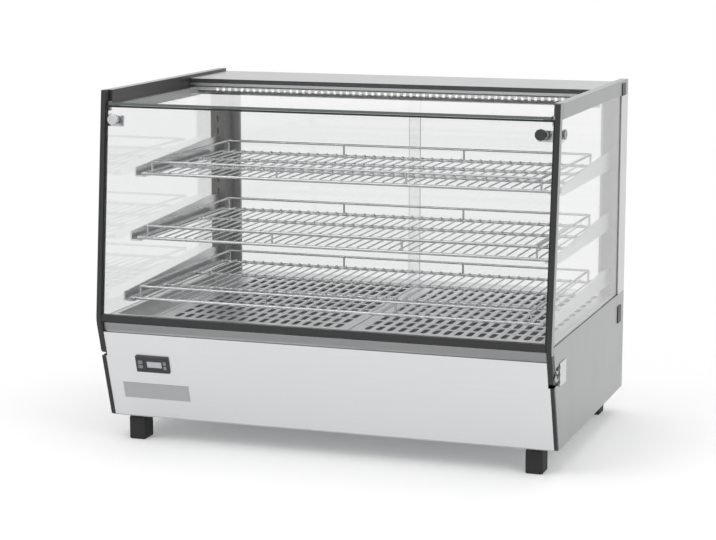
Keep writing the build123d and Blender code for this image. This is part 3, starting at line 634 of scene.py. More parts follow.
class SharedEffects:
    """Shader groups that several finishes use, each built once."""

    def __init__(self) -> None:
        """Builds the groups."""
        self.grain = self._grain()
        self.marks = self._marks()
        self.dust = self._dust()

    @staticmethod
    def _start(
        name: str, inputs: dict[str, Any], outputs: Sequence[str]
    ) -> tuple[ShaderBoard, Sockets, Sockets]:
        """Opens a group with named sockets.

        Args:
            name: Name of the group.
            inputs: Input names, with a number or a triple, or None for a bare vector.
            outputs: Names of its number outputs.

        Returns:
            A board for the group's tree, what comes in and what goes out.
        """
        tree = bpy.data.node_groups.new(name, "ShaderNodeTree")
        for label, default in inputs.items():
            kind = "NodeSocketFloat" if isinstance(default, float) else "NodeSocketVector"
            socket = tree.interface.new_socket(name=label, in_out="INPUT", socket_type=kind)
            if default is not None:
                socket.default_value = default
        for label in outputs:
            tree.interface.new_socket(name=label, in_out="OUTPUT", socket_type="NodeSocketFloat")
        entry = tree.nodes.new("NodeGroupInput").outputs
        leave = tree.nodes.new("NodeGroupOutput").inputs
        return ShaderBoard(tree), entry, leave

    def _grain(self) -> bpy.types.NodeTree:
        """Draws fine lines out along one direction, over a slow change of tone.

        Returns:
            The group's tree.
        """
        board, entry, leave = self._start(
            "brushed_grain",
            {"Vector": None, "Stretch": (4.0, 900.0, 900.0), "Depth": 0.5},
            ("Tone", "Height"),
        )
        values = {0: entry["Vector"], 1: entry["Stretch"]}
        drawn = board.add("ShaderNodeVectorMath", values, operation="MULTIPLY").outputs[0]
        lines = board.noise(drawn, 1.0, 4.0)
        slow = board.noise(entry["Vector"], 3.0, 2.0)
        both = board.math("MULTIPLY_ADD", slow, 0.35, board.math("MULTIPLY", lines, 0.65))
        centred = board.math("SUBTRACT", both, 0.5)
        tone = board.math("MULTIPLY_ADD", centred, entry["Depth"], 0.5, clamp=True)
        board.link(tone, leave["Tone"])
        board.link(lines, leave["Height"])
        return board.tree

    def _marks(self) -> bpy.types.NodeTree:
        """Draws soft smears and prints where hands and cloths have been.

        Returns:
            The group's tree.
        """
        board, entry, leave = self._start(
            "handling_marks", {"Vector": None, "Size": 9.0, "Amount": 0.3}, ("Mask",)
        )
        patch = board.ramp(board.noise(entry["Vector"], entry["Size"], 6.0), 0.5, 0.75)
        mixed = board.math("MULTIPLY", patch, board.noise(entry["Vector"], 160.0, 3.0))
        board.link(board.math("MULTIPLY", mixed, entry["Amount"], clamp=True), leave["Mask"])
        return board.tree

    def _dust(self) -> bpy.types.NodeTree:
        """Lays a thin film on faces turned upwards.

        Returns:
            The group's tree.
        """
        board, entry, leave = self._start(
            "settled_dust", {"Vector": None, "Normal": None, "Amount": 0.15}, ("Mask",)
        )
        parts = board.add("ShaderNodeSeparateXYZ", {"Vector": entry["Normal"]}).outputs
        upward = board.ramp(parts["Z"], 0.4, 1.0)
        mixed = board.math("MULTIPLY", upward, board.noise(entry["Vector"], 45.0, 8.0))
        board.link(board.math("MULTIPLY", mixed, entry["Amount"], clamp=True), leave["Mask"])
        return board.tree


def open_material(name: str) -> tuple[bpy.types.Material, ShaderBoard, Socket]:
    """Makes a new material with an empty tree.

    Args:
        name: Name of the material.

    Returns:
        The material, a board for its tree and the surface input of its output node.
    """
    material = bpy.data.materials.new(name)
    material.use_nodes = True
    material.node_tree.nodes.clear()
    board = ShaderBoard(material.node_tree)
    surface = board.add("ShaderNodeOutputMaterial").inputs["Surface"]
    return material, board, surface


@dataclass(frozen=True)
class SolidFinish:
    """A metal, plastic or rubber surface with grain, handling marks and a little dust."""

    name: str
    colour: Triple
    roughness: float = 0.4
    metallic: float = 0.0
    stretch: Triple = (60.0, 60.0, 60.0)
    contrast: float = 0.10
    grain_depth: float = 1.0
    bump: float = 0.05
    bump_distance: float = 0.0004
    marks: float = 0.25
    dust: float = 0.10
    dust_colour: Triple = (0.62, 0.61, 0.58)
    wear: float = 0.15
    glow: float = 0.0

    def make(self, effects: SharedEffects) -> bpy.types.Material:
        """Builds the material.

        Args:
            effects: The shared shader groups.

        Returns:
            The material.
        """
        material, board, surface = open_material(self.name)
        place = board.add("ShaderNodeTexCoord").outputs
        spot = {"Vector": place["Object"]}
        stretched = {**spot, "Stretch": self.stretch, "Depth": self.grain_depth}
        grain = board.group(effects.grain, stretched)
        marks = board.group(effects.marks, {**spot, "Amount": self.marks})["Mask"]
        film = {**spot, "Normal": place["Normal"], "Amount": self.dust}
        dust = board.group(effects.dust, film)["Mask"]
        dark = tuple(c * (1 - self.contrast) for c in self.colour)
        pale = tuple(min(1.0, c * (1 + self.contrast)) for c in self.colour)
        tone = board.blend(grain["Tone"], (*dark, 1.0), (*pale, 1.0))
        dusty = board.blend(dust, tone, (*self.dust_colour, 1.0))
        low, high = self.roughness * (1 - self.wear), self.roughness * (1 + self.wear)
        dull = board.math("ADD", marks, board.spread(grain["Tone"], low, high))
        relief = board.add(
            "ShaderNodeBump",
            {"Height": grain["Height"], "Strength": self.bump, "Distance": self.bump_distance},
        )
        shader = board.add(
            "ShaderNodeBsdfPrincipled",
            {
                "Base Color": dusty,
                "Roughness": dull,
                "Metallic": self.metallic,
                "Normal": relief.outputs["Normal"],
            },
        )
        if self.glow:
            shader.inputs["Emission Color"].default_value = (*self.colour, 1.0)
            shader.inputs["Emission Strength"].default_value = self.glow
        board.link(shader.outputs[0], surface)
        return material


@dataclass(frozen=True)
class PaneFinish:
    """Clear toughened glass that lets the lamps through and carries faint smears."""

    name: str
    colour: Triple
    smears: float = 0.05
    smear_size: float = 5.0
    refraction: float = 1.45

    def make(self, effects: SharedEffects) -> bpy.types.Material:
        """Builds the glass.

        Args:
            effects: The shared shader groups.

        Returns:
            The material.
        """
        material, board, surface = open_material(self.name)
        place = board.add("ShaderNodeTexCoord").outputs["Object"]
        smeared = {"Vector": place, "Size": self.smear_size, "Amount": self.smears}
        glass = board.add(
            "ShaderNodeBsdfPrincipled",
            {
                "Base Color": (*self.colour, 1.0),
                "Roughness": board.group(effects.marks, smeared)["Mask"],
                "IOR": self.refraction,
                "Transmission Weight": 1.0,
            },
        )
        clear = board.add("ShaderNodeBsdfTransparent")
        shadow = board.add("ShaderNodeLightPath").outputs["Is Shadow Ray"]
        board.link(board.choose(shadow, glass.outputs[0], clear.outputs[0]), surface)
        return material


class Palette:
    """Every finish on the case, by record slot, with the few that the slots don't name."""

    ALONG_X: Triple = (5.0, 1100.0, 1100.0)
    ALONG_Y: Triple = (1100.0, 5.0, 1100.0)
    ALONG_Z: Triple = (900.0, 900.0, 5.0)
    EDGE_FACING: float = 0.8

    def __init__(self) -> None:
        """Builds all finishes."""
        effects = SharedEffects()
        steel = dict(metallic=1.0, roughness=0.32, contrast=0.07, bump=0.05, marks=0.10)
        across = dict(stretch=self.ALONG_X, **steel)
        solids = {
            Slot.STAINLESS: SolidFinish("brushed_stainless", (0.69, 0.693, 0.70), **across),
            Slot.DARK_STEEL: SolidFinish(
                "side_steel", (0.36, 0.363, 0.368), stretch=self.ALONG_Y, **steel
            ),
            Slot.RAIL: SolidFinish(
                "satin_aluminium",
                (0.37, 0.373, 0.38),
                roughness=0.38,
                metallic=1.0,
                stretch=self.ALONG_Y,
                contrast=0.05,
                bump=0.03,
                marks=0.08,
            ),
            Slot.BLACK_TRIM: SolidFinish(
                "black_trim", (0.013, 0.013, 0.0145), 0.42, contrast=0.2, bump=0.1
            ),
            Slot.RUBBER: SolidFinish(
                "black_rubber", (0.010, 0.010, 0.011), 0.7, contrast=0.3, bump=0.3, dust=0.2
            ),
            Slot.CHROME: SolidFinish(
                "polished_chrome", (0.58, 0.58, 0.59), 0.22, 1.0, contrast=0.03, marks=0.12
            ),
            Slot.WIRE: SolidFinish(
                "plated_wire", (0.46, 0.465, 0.475), 0.25, 1.0, contrast=0.08, marks=0.15
            ),
            Slot.CONTROL: SolidFinish(
                "control_black", (0.022, 0.022, 0.025), 0.45, contrast=0.2, bump=0.25
            ),
            Slot.WINDOW: SolidFinish(
                "display_window", (0.44, 0.475, 0.50), 0.12, contrast=0.03, bump=0.0, marks=0.08
            ),
            Slot.KEY: SolidFinish("key_grey", (0.20, 0.205, 0.215), 0.5, contrast=0.1, bump=0.1),
            Slot.PLATE: SolidFinish(
                "plate_grey", (0.36, 0.365, 0.37), 0.4, contrast=0.06, stretch=self.ALONG_X
            ),
            Slot.LED: SolidFinish("led_lens", (0.92, 0.92, 0.86), 0.3, contrast=0.03, glow=2.5),
            Slot.GALVANISED: SolidFinish(
                "galvanised",
                (0.45, 0.46, 0.47),
                roughness=0.5,
                metallic=0.8,
                stretch=(30.0, 30.0, 30.0),
                contrast=0.2,
                grain_depth=1.5,
            ),
            Slot.FAN: SolidFinish("fan_black", (0.03, 0.03, 0.03), 0.5, contrast=0.2, dust=0.3),
            Slot.ELEMENT: SolidFinish(
                "heat_tinted_sheath", (0.16, 0.14, 0.13), 0.5, 0.8, contrast=0.3
            ),
            Slot.ROCKER: SolidFinish(
                "rocker_black", (0.02, 0.02, 0.022), 0.2, contrast=0.1, marks=0.2
            ),
        }
        self.by_slot = {slot: finish.make(effects) for slot, finish in solids.items()}
        self.by_slot[Slot.GLASS] = PaneFinish("clear_pane", (0.915, 0.921, 0.918)).make(effects)
        self.glass_edge = SolidFinish(
            "ground_glass_edge", (0.085, 0.11, 0.104), 0.35, contrast=0.12, marks=0.1
        ).make(effects)
        self.dark_face = SolidFinish(
            "blackened_face", (0.060, 0.060, 0.063), 0.32, 0.4, contrast=0.15
        ).make(effects)
        own = {
            "led_bar": SolidFinish(
                "lamp_housing", (0.72, 0.72, 0.70), 0.5, contrast=0.04, marks=0.1
            ),
            "shelf_uprights": SolidFinish(
                "upright_steel",
                (0.12, 0.117, 0.108),
                roughness=0.42,
                metallic=0.6,
                stretch=self.ALONG_Z,
                contrast=0.12,
                marks=0.2,
            ),
            # The sill is the brushed stainless taken much darker: painted shade on this folded
            # ledge.
            "front_sill": SolidFinish("sill_steel_painted_shade", (0.27, 0.272, 0.276), **across),
            # Darker copy of the brushed stainless: painted shade that holds down the light on the
            # cover's top.
            "rear_top_cover": SolidFinish("cover_steel_painted_shade", (0.45, 0.453, 0.46), **across),
            "left_deck_plate": SolidFinish("deck_steel", (0.74, 0.743, 0.76), **across),
            # Near black: the duct's dark steel taken down to painted shade, so that the deck's
            # slots read dark.
            "air_duct": SolidFinish(
                "duct_black_painted_shade", (0.012, 0.012, 0.013), 0.6, contrast=0.2, dust=0.03
            ),
            "rear_corner_posts": SolidFinish(
                "post_steel", (0.60, 0.603, 0.61), stretch=self.ALONG_Z, **steel
            ),
        }
        self.by_node = {node: finish.make(effects) for node, finish in own.items()}
        for node in ("right_deck_plate", "deck_frame"):
            self.by_node[node] = self.by_node["left_deck_plate"]

    def dress(self, piece: Piece, slot: Slot, body: Body, nodes: Sequence[str] = ()) -> Piece:
        """Gives a finished piece its finish, its body and the CAD nodes that it stands for.

        Args:
            piece: The finished piece.
            slot: The record slot of its finish.
            body: The body that it rides on.
            nodes: CAD nodes that it replaces.

        Returns:
            The dressed piece.
        """
        if not piece.data.materials:
            piece.data.materials.append(self.by_slot[slot])
        Workbench.flatten_faces(piece)
        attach(piece, body.value)
        if nodes:
            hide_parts(*nodes)
        log.info("%s rides on %s", piece.name, body.value)
        return piece

    def dress_pair(
        self,
        piece: Piece,
        left_name: str,
        slot: Slot,
        body: Body,
        nodes: Sequence[str] = (),
        left_nodes: Sequence[str] = (),
    ) -> None:
        """Mirrors a finished piece of the right side to the left, and dresses both.

        Args:
            piece: The piece on the right.
            left_name: Name of its twin.
            slot: The record slot of their finish.
            body: The body that they ride on.
            nodes: CAD nodes that the right piece replaces.
            left_nodes: CAD nodes that the left piece replaces.
        """
        twin = Workbench.mirror(piece, left_name)
        self.dress(piece, slot, body, nodes)
        self.dress(twin, slot, body, left_nodes)

    @staticmethod
    def face_paint(
        piece: Piece, base: bpy.types.Material, other: bpy.types.Material, chosen: FaceTest
    ) -> None:
        """Paints the faces that a test picks with a second finish.

        Args:
            piece: The piece to paint.
            base: Finish of the other faces.
            other: Finish of the picked faces.
            chosen: Test that gets a face's normal and centre and picks it.
        """
        piece.data.materials.clear()
        for material in (base, other):
            piece.data.materials.append(material)
        for face in piece.data.polygons:
            face.material_index = int(chosen(face.normal, face.center))

    def glaze(self, piece: Piece, axis: int) -> None:
        """Makes a piece a pane: clear on its two broad faces and ground on its narrow edges.

        Args:
            piece: The pane.
            axis: Which of X, Y and Z its broad faces look along, as 0, 1 or 2.
        """

        def narrow(normal: Vector, centre: Vector) -> bool:
            """Picks the faces that don't look along the axis."""
            return abs(normal[axis]) < self.EDGE_FACING

        self.face_paint(piece, self.by_slot[Slot.GLASS], self.glass_edge, narrow)


@dataclass
class FrontDoor:
    """The tilting front glass with its side strips, bottom rail, seal and beads."""

    sizes: CaseSizes
    palette: Palette
    pivot_back: float = 12.0
    lug_radius: float = 12.0
    bend_reach: float = 9.0
    outer_facing: float = 0.9
    pane_past_strip: float = 3.7
    pane_heights: Pair = (243.0, 630.2)
    pane_inset: float = 3.0
    pane_thick: float = 5.0
    rail_heights: Pair = (238.0, 251.0)
    rail_deep: float = 12.0
    seal_heights: Pair = (630.2, 633.2)
    bead_reach: Pair = (418.6, 420.9)
    bead_heights: Pair = (251.2, 632.0)
    bead_inset: float = 1.4
    bead_deep: float = 1.8

    def band(
        self, name: str, reach: Pair, heights: Pair, inset: float, deep: float, edge: float
    ) -> Piece:
        """Makes a bar across the front that leans with the glass.

        Args:
            name: Name of the bar.
            reach: Its X from and to, in millimetres.
            heights: Its Z from and to.
            inset: How far it lies behind the front line.
            deep: Its depth.
            edge: Rounding of its edges.

        Returns:
            The bar.
        """
        (x0, x1), (z0, z1) = reach, heights
        y0, y1 = (self.sizes.front_line(z) + inset for z in heights)
        return Workbench.run(
            name, (x0, y0, z0), (x1, y0 + deep, z0), [(0.0, y1 - y0, z1 - z0)], edge=edge
        )

    def build(self) -> None:
        """Builds and dresses every piece of the door."""
        self.build_strips()
        door, inset, thick = Body.FRONT_DOOR, self.pane_inset, self.pane_thick
        reach = self.sizes.door_inner + self.pane_past_strip
        wide, inner = (-reach, reach), (-self.sizes.pane_inner, self.sizes.pane_inner)
        pane = self.band("front_glass_pane", wide, self.pane_heights, inset, thick, edge=0.5)
        self.palette.glaze(pane, 1)
        self.palette.dress(pane, Slot.GLASS, door, ["front_glass"])
        rail = self.band(
            "front_bottom_rail_bar", inner, self.rail_heights, 0.0, self.rail_deep, edge=1.2
        )
        self.palette.dress(rail, Slot.BLACK_TRIM, door, ["front_bottom_rail"])
        seal = self.band("front_top_seal_strip", inner, self.seal_heights, inset, thick, edge=0.8)
        self.palette.dress(seal, Slot.RUBBER, door, ["front_glass_top_seal"])
        bead = self.band(
            "right_glazing_bead",
            self.bead_reach,
            self.bead_heights,
            self.bead_inset,
            self.bead_deep,
            edge=0.5,
        )
        self.palette.dress_pair(bead, "left_glazing_bead", Slot.RUBBER, door)
        Knobs(self.sizes, self.palette, inset, thick).build()

    def build_strips(self) -> None:
        """Builds the two long side strips, bright outside, with their pivot lugs."""
        s = self.sizes
        x0, x1, z = s.door_inner, s.half_width, s.pivot_z
        y = s.front_line(z)
        strip = Workbench.run(
            "strip",
            (x0, y, z),
            (x1, y + s.strip_depth, z),
            [(0.0, s.front - y, s.knee - z), (0.0, s.glass_lean, s.top - s.knee)],
            edge=1.0,
            bend=(s.knee, self.bend_reach),
        )
        y += self.pivot_back
        lug = Workbench.rod("lug", (x0, y, z), (x1, y, z), self.lug_radius, sides=40, edge=1.0)
        strip = Workbench.join("right_front_strip", [strip, lug])
        bright_from = (z + 2 * self.lug_radius) * MM

        def outside(normal: Vector, centre: Vector) -> bool:
            """Picks the outer side above the lug."""
            return normal.x > self.outer_facing and centre.z > bright_from

        finish = self.palette.by_slot
        self.palette.face_paint(strip, finish[Slot.BLACK_TRIM], finish[Slot.RAIL], outside)
        self.palette.dress_pair(
            strip, "left_front_strip", Slot.BLACK_TRIM, Body.FRONT_DOOR, ["front_side_strips"]
        )


@dataclass
class Knobs:
    """The two round fluted knobs, each with the stud and strike disc that it turns."""

    sizes: CaseSizes
    palette: Palette
    glass_inset: float
    glass_thick: float
    x: float = 400.0
    z: float = 608.0
    gap: float = 0.4
    length: float = 18.0
    radius: float = 10.0
    head_length: float = 9.0
    flutes: int = 10
    flute_radius: float = 1.6
    flute_out: float = 0.7
    dimple_radius: float = 5.5
    dimple_depth: float = 0.8
    neck_radius: float = 4.6
    neck_from: float = 1.6
    flange_radius: float = 7.0
    flange_thick: float = 2.0
    stud_radius: float = 3.0
    disc_radius: float = 8.0
    disc_thick: float = 3.0
    overlap: float = 0.5
    spare: float = 3.0

    def along(self, distance: float) -> Vector:
        """Point on the knob's axis at a distance out from the glass."""
        root = Vector((self.x, self.sizes.front_line(self.z) + self.glass_inset, self.z))
        return root + self.sizes.glass_outward * distance

    def turned(
        self,
        name: str,
        reach: Pair,
        radius: float,
        sides: int,
        edge: float = 0.0,
        steps: int = 2,
    ) -> Piece:
        """Makes a round part of the knob.

        Args:
            name: Name of the part.
            reach: Its two ends, as distances out from the glass.
            radius: Its radius.
            sides: Faces round it.
            edge: Rounding of its ends.
            steps: Faces across the rounding.

        Returns:
            The part.
        """
        start, end = (self.along(distance) for distance in reach)
        return Workbench.rod(name, start, end, radius, sides, edge, steps)

    def flute_cutters(self, face: float) -> Piece:
        """Makes the round bars that cut the flutes.

        Args:
            face: Distance of the knob's face from the glass.

        Returns:
            The bars as one piece.
        """
        out, side = self.sizes.glass_outward, Vector((1, 0, 0))
        up = out.cross(side)
        bars = []
        for i in range(self.flutes):
            angle = math.tau * i / self.flutes
            turn = side * math.cos(angle) + up * math.sin(angle)
            start, end = (
                self.along(distance) + turn * (self.radius + self.flute_out)
                for distance in (-2.0, face + self.spare)
            )
            bars.append(Workbench.rod("flute", start, end, self.flute_radius, sides=12))
        return Workbench.join("flutes", bars)

    def build(self) -> None:
        """Builds and dresses both knobs: the right one has a black head, the left one is bright."""
        gap, face = self.gap, self.gap + self.length
        shoulder = face - self.head_length
        inside = -self.glass_thick - 2 * gap
        head = self.turned("head", (shoulder, face), self.radius, sides=48, edge=1.8, steps=4)
        dimple = (face - self.dimple_depth, face + self.spare)
        flutes = self.flute_cutters(face)
        dimple = self.turned("dimple", dimple, self.dimple_radius, sides=32)
        Workbench.cut(head, [flutes, dimple])
        neck = (gap + self.neck_from, shoulder + self.overlap)
        flange = (gap, gap + self.flange_thick)
        disc = (inside + gap, inside + gap - self.disc_thick)
        metal = [
            self.turned("neck", neck, self.neck_radius, sides=28),
            self.turned("flange", flange, self.flange_radius, sides=36, edge=0.6),
            self.turned("stud", (gap + self.overlap, inside), self.stud_radius, sides=20),
            self.turned("disc", disc, self.disc_radius, sides=40, edge=0.6),
        ]
        head.data.materials.append(self.palette.by_slot[Slot.CONTROL])
        for part in metal:
            part.data.materials.append(self.palette.by_slot[Slot.CHROME])
        knob = Workbench.join("right_knob_turned", [head, *metal])
        twin = Workbench.mirror(knob, "left_knob_turned")
        twin.data.materials[0] = self.palette.by_slot[Slot.CHROME]
        self.palette.dress(knob, Slot.CONTROL, Body.RIGHT_KNOB, ["right_knob"])
        self.palette.dress(twin, Slot.CONTROL, Body.LEFT_KNOB, ["left_knob"])


@dataclass
class Glazing:
    """Side and roof glass, top rails, rear cover and the lamp row."""

    sizes: CaseSizes
    palette: Palette
    side_glass: Pair = (424.0, 429.0)
    side_depth: Pair = (-300.0, 299.2)
    side_top: float = 644.0
    behind_strip: float = 17.0
    roof_half: float = 414.5
    roof_depth: Pair = (-261.1, 130.9)
    roof_thick: float = 5.0
    ledge_reach: Pair = (-8.0, 2.0)
    ledge_depth: Pair = (-245.0, 147.0)
    ledge_heights: Pair = (631.7, 633.7)
    dark_facing: float = -0.6
    cover_gap: float = 0.5
    cover_front: float = 110.9
    cover_top: float = 655.0
    cover_sheet: float = 1.5
    back_fold: Pair = (629.0, 654.0)
    lower_fold: Pair = (640.0, 645.5)
    upper_fold: Pair = (645.5, 654.2)
    lamps: int = 56
    lamp_pitch: float = 13.0
    lens_half: float = 2.6
    lens_back: Pair = (4.1, 4.95)
    lens_heights: Pair = (625.2, 632.2)

    def build(self) -> None:
        """Builds and dresses every piece of the glazing."""
        s, glass = self.sizes, Slot.GLASS
        (x0, x1), (y0, y1) = self.side_glass, self.side_depth
        pane = Workbench.block("pane", (x0, y0, s.deck), (x1, y1, self.side_top), edge=0.0)
        self.lean_off(pane)
        Workbench.finish(pane, "right_side_pane", edge=0.5)
        self.palette.glaze(pane, 0)
        self.palette.dress_pair(
            pane, "left_side_pane", glass, Body.CABINET, ["right_side_glass"], ["left_side_glass"]
        )
        x, (y0, y1), z = self.roof_half, self.roof_depth, s.roof_low
        roof = Workbench.block("roof_pane", (-x, y0, z), (x, y1, z + self.roof_thick), edge=0.5)
        self.palette.glaze(roof, 2)
        self.palette.dress(roof, glass, Body.CABINET, ["roof_glass"])
        self.build_rails()
        self.build_cover()
        self.build_lamps()

    def lean_off(self, piece: Piece) -> None:
        """Cuts a piece off behind the front strips, along the lean of the glass.

        Args:
            piece: The piece to cut.
        """
        s, z = self.sizes, self.side_top
        Workbench.trim(piece, (0.0, s.front_line(z) + self.behind_strip, z), s.glass_outward)

    def build_rails(self) -> None:
        """Builds the top rails with their black inner faces and roof ledges."""
        s, dark = self.sizes, self.palette.dark_face
        x, y = s.rail_inner, self.side_depth[0]
        high = (s.half_width, s.rear, s.top)
        rail = Workbench.block("rail", (x, y, s.rail_low), high, edge=0.0)
        self.lean_off(rail)
        Workbench.finish(rail, "rail", edge=1.0)

        def turned_away(normal: Vector, centre: Vector) -> bool:
            """Picks the inner, lower and front faces."""
            return min(normal) < self.dark_facing

        self.palette.face_paint(rail, self.palette.by_slot[Slot.RAIL], dark, turned_away)
        (x0, x1), (y0, y1), (z0, z1) = self.ledge_reach, self.ledge_depth, self.ledge_heights
        ledge = Workbench.block("ledge", (x + x0, y0, z0), (x + x1, y1, z1), edge=0.4)
        ledge.data.materials.append(dark)
        rail = Workbench.join("right_rail_bar", [rail, ledge])
        self.palette.dress_pair(
            rail, "left_rail_bar", Slot.RAIL, Body.CABINET, ["right_top_rail"], ["left_top_rail"]
        )

    def build_cover(self) -> None:
        """Builds the folded rear cover, with the upper part of its front fold blackened."""
        s, front, sheet = self.sizes, self.cover_front, self.cover_sheet
        reach = s.rail_inner - self.cover_gap
        # The cover's steel is the darker copy of the stainless, painted shade on the cover.
        steel = self.palette.by_node["rear_top_cover"]
        folds = (
            ((front, s.rear), (self.cover_top - sheet, self.cover_top), steel),
            ((s.rear - sheet, s.rear), self.back_fold, steel),
            ((front, front + sheet), self.lower_fold, steel),
            ((front, front + sheet), self.upper_fold, self.palette.dark_face),
        )
        parts = []
        for (y0, y1), (z0, z1), finish in folds:
            part = Workbench.block("fold", (-reach, y0, z0), (reach, y1, z1), edge=0.4)
            part.data.materials.append(finish)
            parts.append(part)
        cover = Workbench.join("rear_cover_folded", parts)
        self.palette.dress(cover, Slot.STAINLESS, Body.CABINET, ["rear_top_cover"])

    def build_lamps(self) -> None:
        """Builds the row of small lamp lenses under the cover."""
        x, (z0, z1) = self.lens_half, self.lens_heights
        y0, y1 = (self.cover_front + back for back in self.lens_back)
        lens = Workbench.block("lens", (-x, y0, z0), (x, y1, z1), edge=0.35)
        middle = (self.lamps - 1) / 2
        moves = [((i - middle) * self.lamp_pitch, 0.0, 0.0) for i in range(self.lamps)]
        row = Workbench.row("lamp_lenses", lens, moves)
        self.palette.dress(row, Slot.LED, Body.CABINET, ["led_chips"])


@dataclass
class WireShelf:
    """One lift-out wire shelf with a raised rail round it."""

    name: str
    base: float
    inset: float
    sizes: CaseSizes
    palette: Palette
    rear: float = 213.0
    half: float = 395.0
    frame: float = 3.0
    side_frame: float = 2.8
    wire: float = 1.5
    wire_sink: float = 0.5
    pitch: float = 20.0
    margin: float = 20.0
    rail: float = 2.4
    rail_in: float = 20.0
    rise: float = 23.0
    post: float = 2.0
    posts: tuple[float, ...] = (-375.0, -125.0, 125.0, 375.0)

    def build(self) -> None:
        """Builds and dresses the shelf."""
        front = self.sizes.front + self.inset + self.frame
        level = self.base + self.frame
        span = self.rear - front
        bars = (front, front + span / 3, self.rear - span / 3, self.rear)
        parts = self.ring(self.half, bars, level, (self.frame, self.side_frame), sides=16)
        parts.append(self.wires(front))
        high = level + self.rise
        ends = (front, self.rear)
        x, radii = self.half - self.rail_in, (self.rail, self.rail)
        parts += self.ring(x, ends, high, radii, sides=14)
        parts += [
            Workbench.rod("post", (x, y, level), (x, y, high), self.post, sides=12)
            for x in self.posts
            for y in ends
        ]
        shelf = Workbench.join(f"{self.name}_shelf_wires", parts)
        self.palette.dress(shelf, Slot.WIRE, Body.CABINET, [f"{self.name}_shelf"])

    @staticmethod
    def ring(x: float, ys: Sequence[float], z: float, radii: Pair, sides: int) -> list[Piece]:
        """Makes long bars, two side bars and the balls at their corners.

        Args:
            x: Half the length of the long bars.
            ys: Where the long bars lie, front to rear.
            z: Height of the bars.
            radii: Radius of the long bars and of the side bars.
            sides: Faces round a bar.

        Returns:
            The bars and balls.
        """
        ends, corners = (ys[0], ys[-1]), (-x, x)
        parts = [Workbench.rod("bar", (-x, y, z), (x, y, z), radii[0], sides) for y in ys]
        parts += [
            Workbench.rod("bar", (side, ends[0], z), (side, ends[1], z), radii[1], sides)
            for side in corners
        ]
        parts += [
            Workbench.ball("corner", (side, y, z), radii[0]) for side in corners for y in ends
        ]
        return parts

    def wires(self, front: float) -> Piece:
        """Makes the row of wires that the trays stand on.

        Args:
            front: Y of the front bar.

        Returns:
            The wires as one mesh.
        """
        top = self.base + 2 * self.frame + self.wire - self.wire_sink
        gaps = int((2 * self.half - self.margin) / self.pitch)
        x = -gaps * self.pitch / 2
        start, end = (x, front, top), (x, self.rear, top)
        wire = Workbench.rod("wire", start, end, self.wire, sides=10, edge=0.6)
        Workbench.array(wire, gaps + 1, (self.pitch, 0.0, 0.0))
        return wire


@dataclass
class Deck:
    """The two slotted plates that lie over the warm air duct."""

    sizes: CaseSizes
    palette: Palette
    width: float = 368.0
    depth: float = 490.0
    thick: float = 1.5
    lift: float = 0.05
    left_x: float = -138.0
    step_x: float = 372.0
    centre_y: float = -17.0
    slot_width: float = 12.0
    slot_length: float = 38.0
    slot_sides: int = 14
    column_pitch: float = 21.0
    row_pitch: float = 46.0
    columns: int = 16
    rows: int = 10
    spare: float = 2.0

    def build(self) -> None:
        """Builds and dresses both plates."""
        low = self.sizes.deck + self.lift
        x, y, w, d = self.left_x, self.centre_y, self.width / 2, self.depth / 2
        corner, far_corner = (x - w, y - d, low), (x + w, y + d, low + self.thick)
        left = Workbench.block("left_slotted_plate", corner, far_corner, edge=0.3)
        Workbench.cut(left, [self.slot_grid(low)])
        left.data.materials.append(self.palette.by_node["left_deck_plate"])
        right = Workbench.copy(left, "right_slotted_plate", (self.step_x, 0.0, 0.0))
        for plate, node in ((left, "left_deck_plate"), (right, "right_deck_plate")):
            self.palette.dress(plate, Slot.STAINLESS, Body.CABINET, [node])

    def slot_grid(self, low: float) -> Piece:
        """Makes one round-ended slot cutter, repeated over the plate.

        Args:
            low: Underside of the plate in millimetres.

        Returns:
            The cutters as one mesh.
        """
        x = self.left_x - self.column_pitch * (self.columns - 1) / 2
        y = self.centre_y - self.row_pitch * (self.rows - 1) / 2
        z0, z1 = low - self.spare, low + self.thick + self.spare
        half = self.slot_width / 2
        cutter = Workbench.rod("slots", (x, y, z0), (x, y, z1), half, self.slot_sides)
        for spot in cutter.data.vertices:
            side = 1 if spot.co.y > y * MM else -1
            spot.co.y += side * (self.slot_length / 2 - half) * MM
        Workbench.array(cutter, self.columns, (self.column_pitch, 0.0, 0.0))
        Workbench.array(cutter, self.rows, (0.0, self.row_pitch, 0.0))
        return cutter


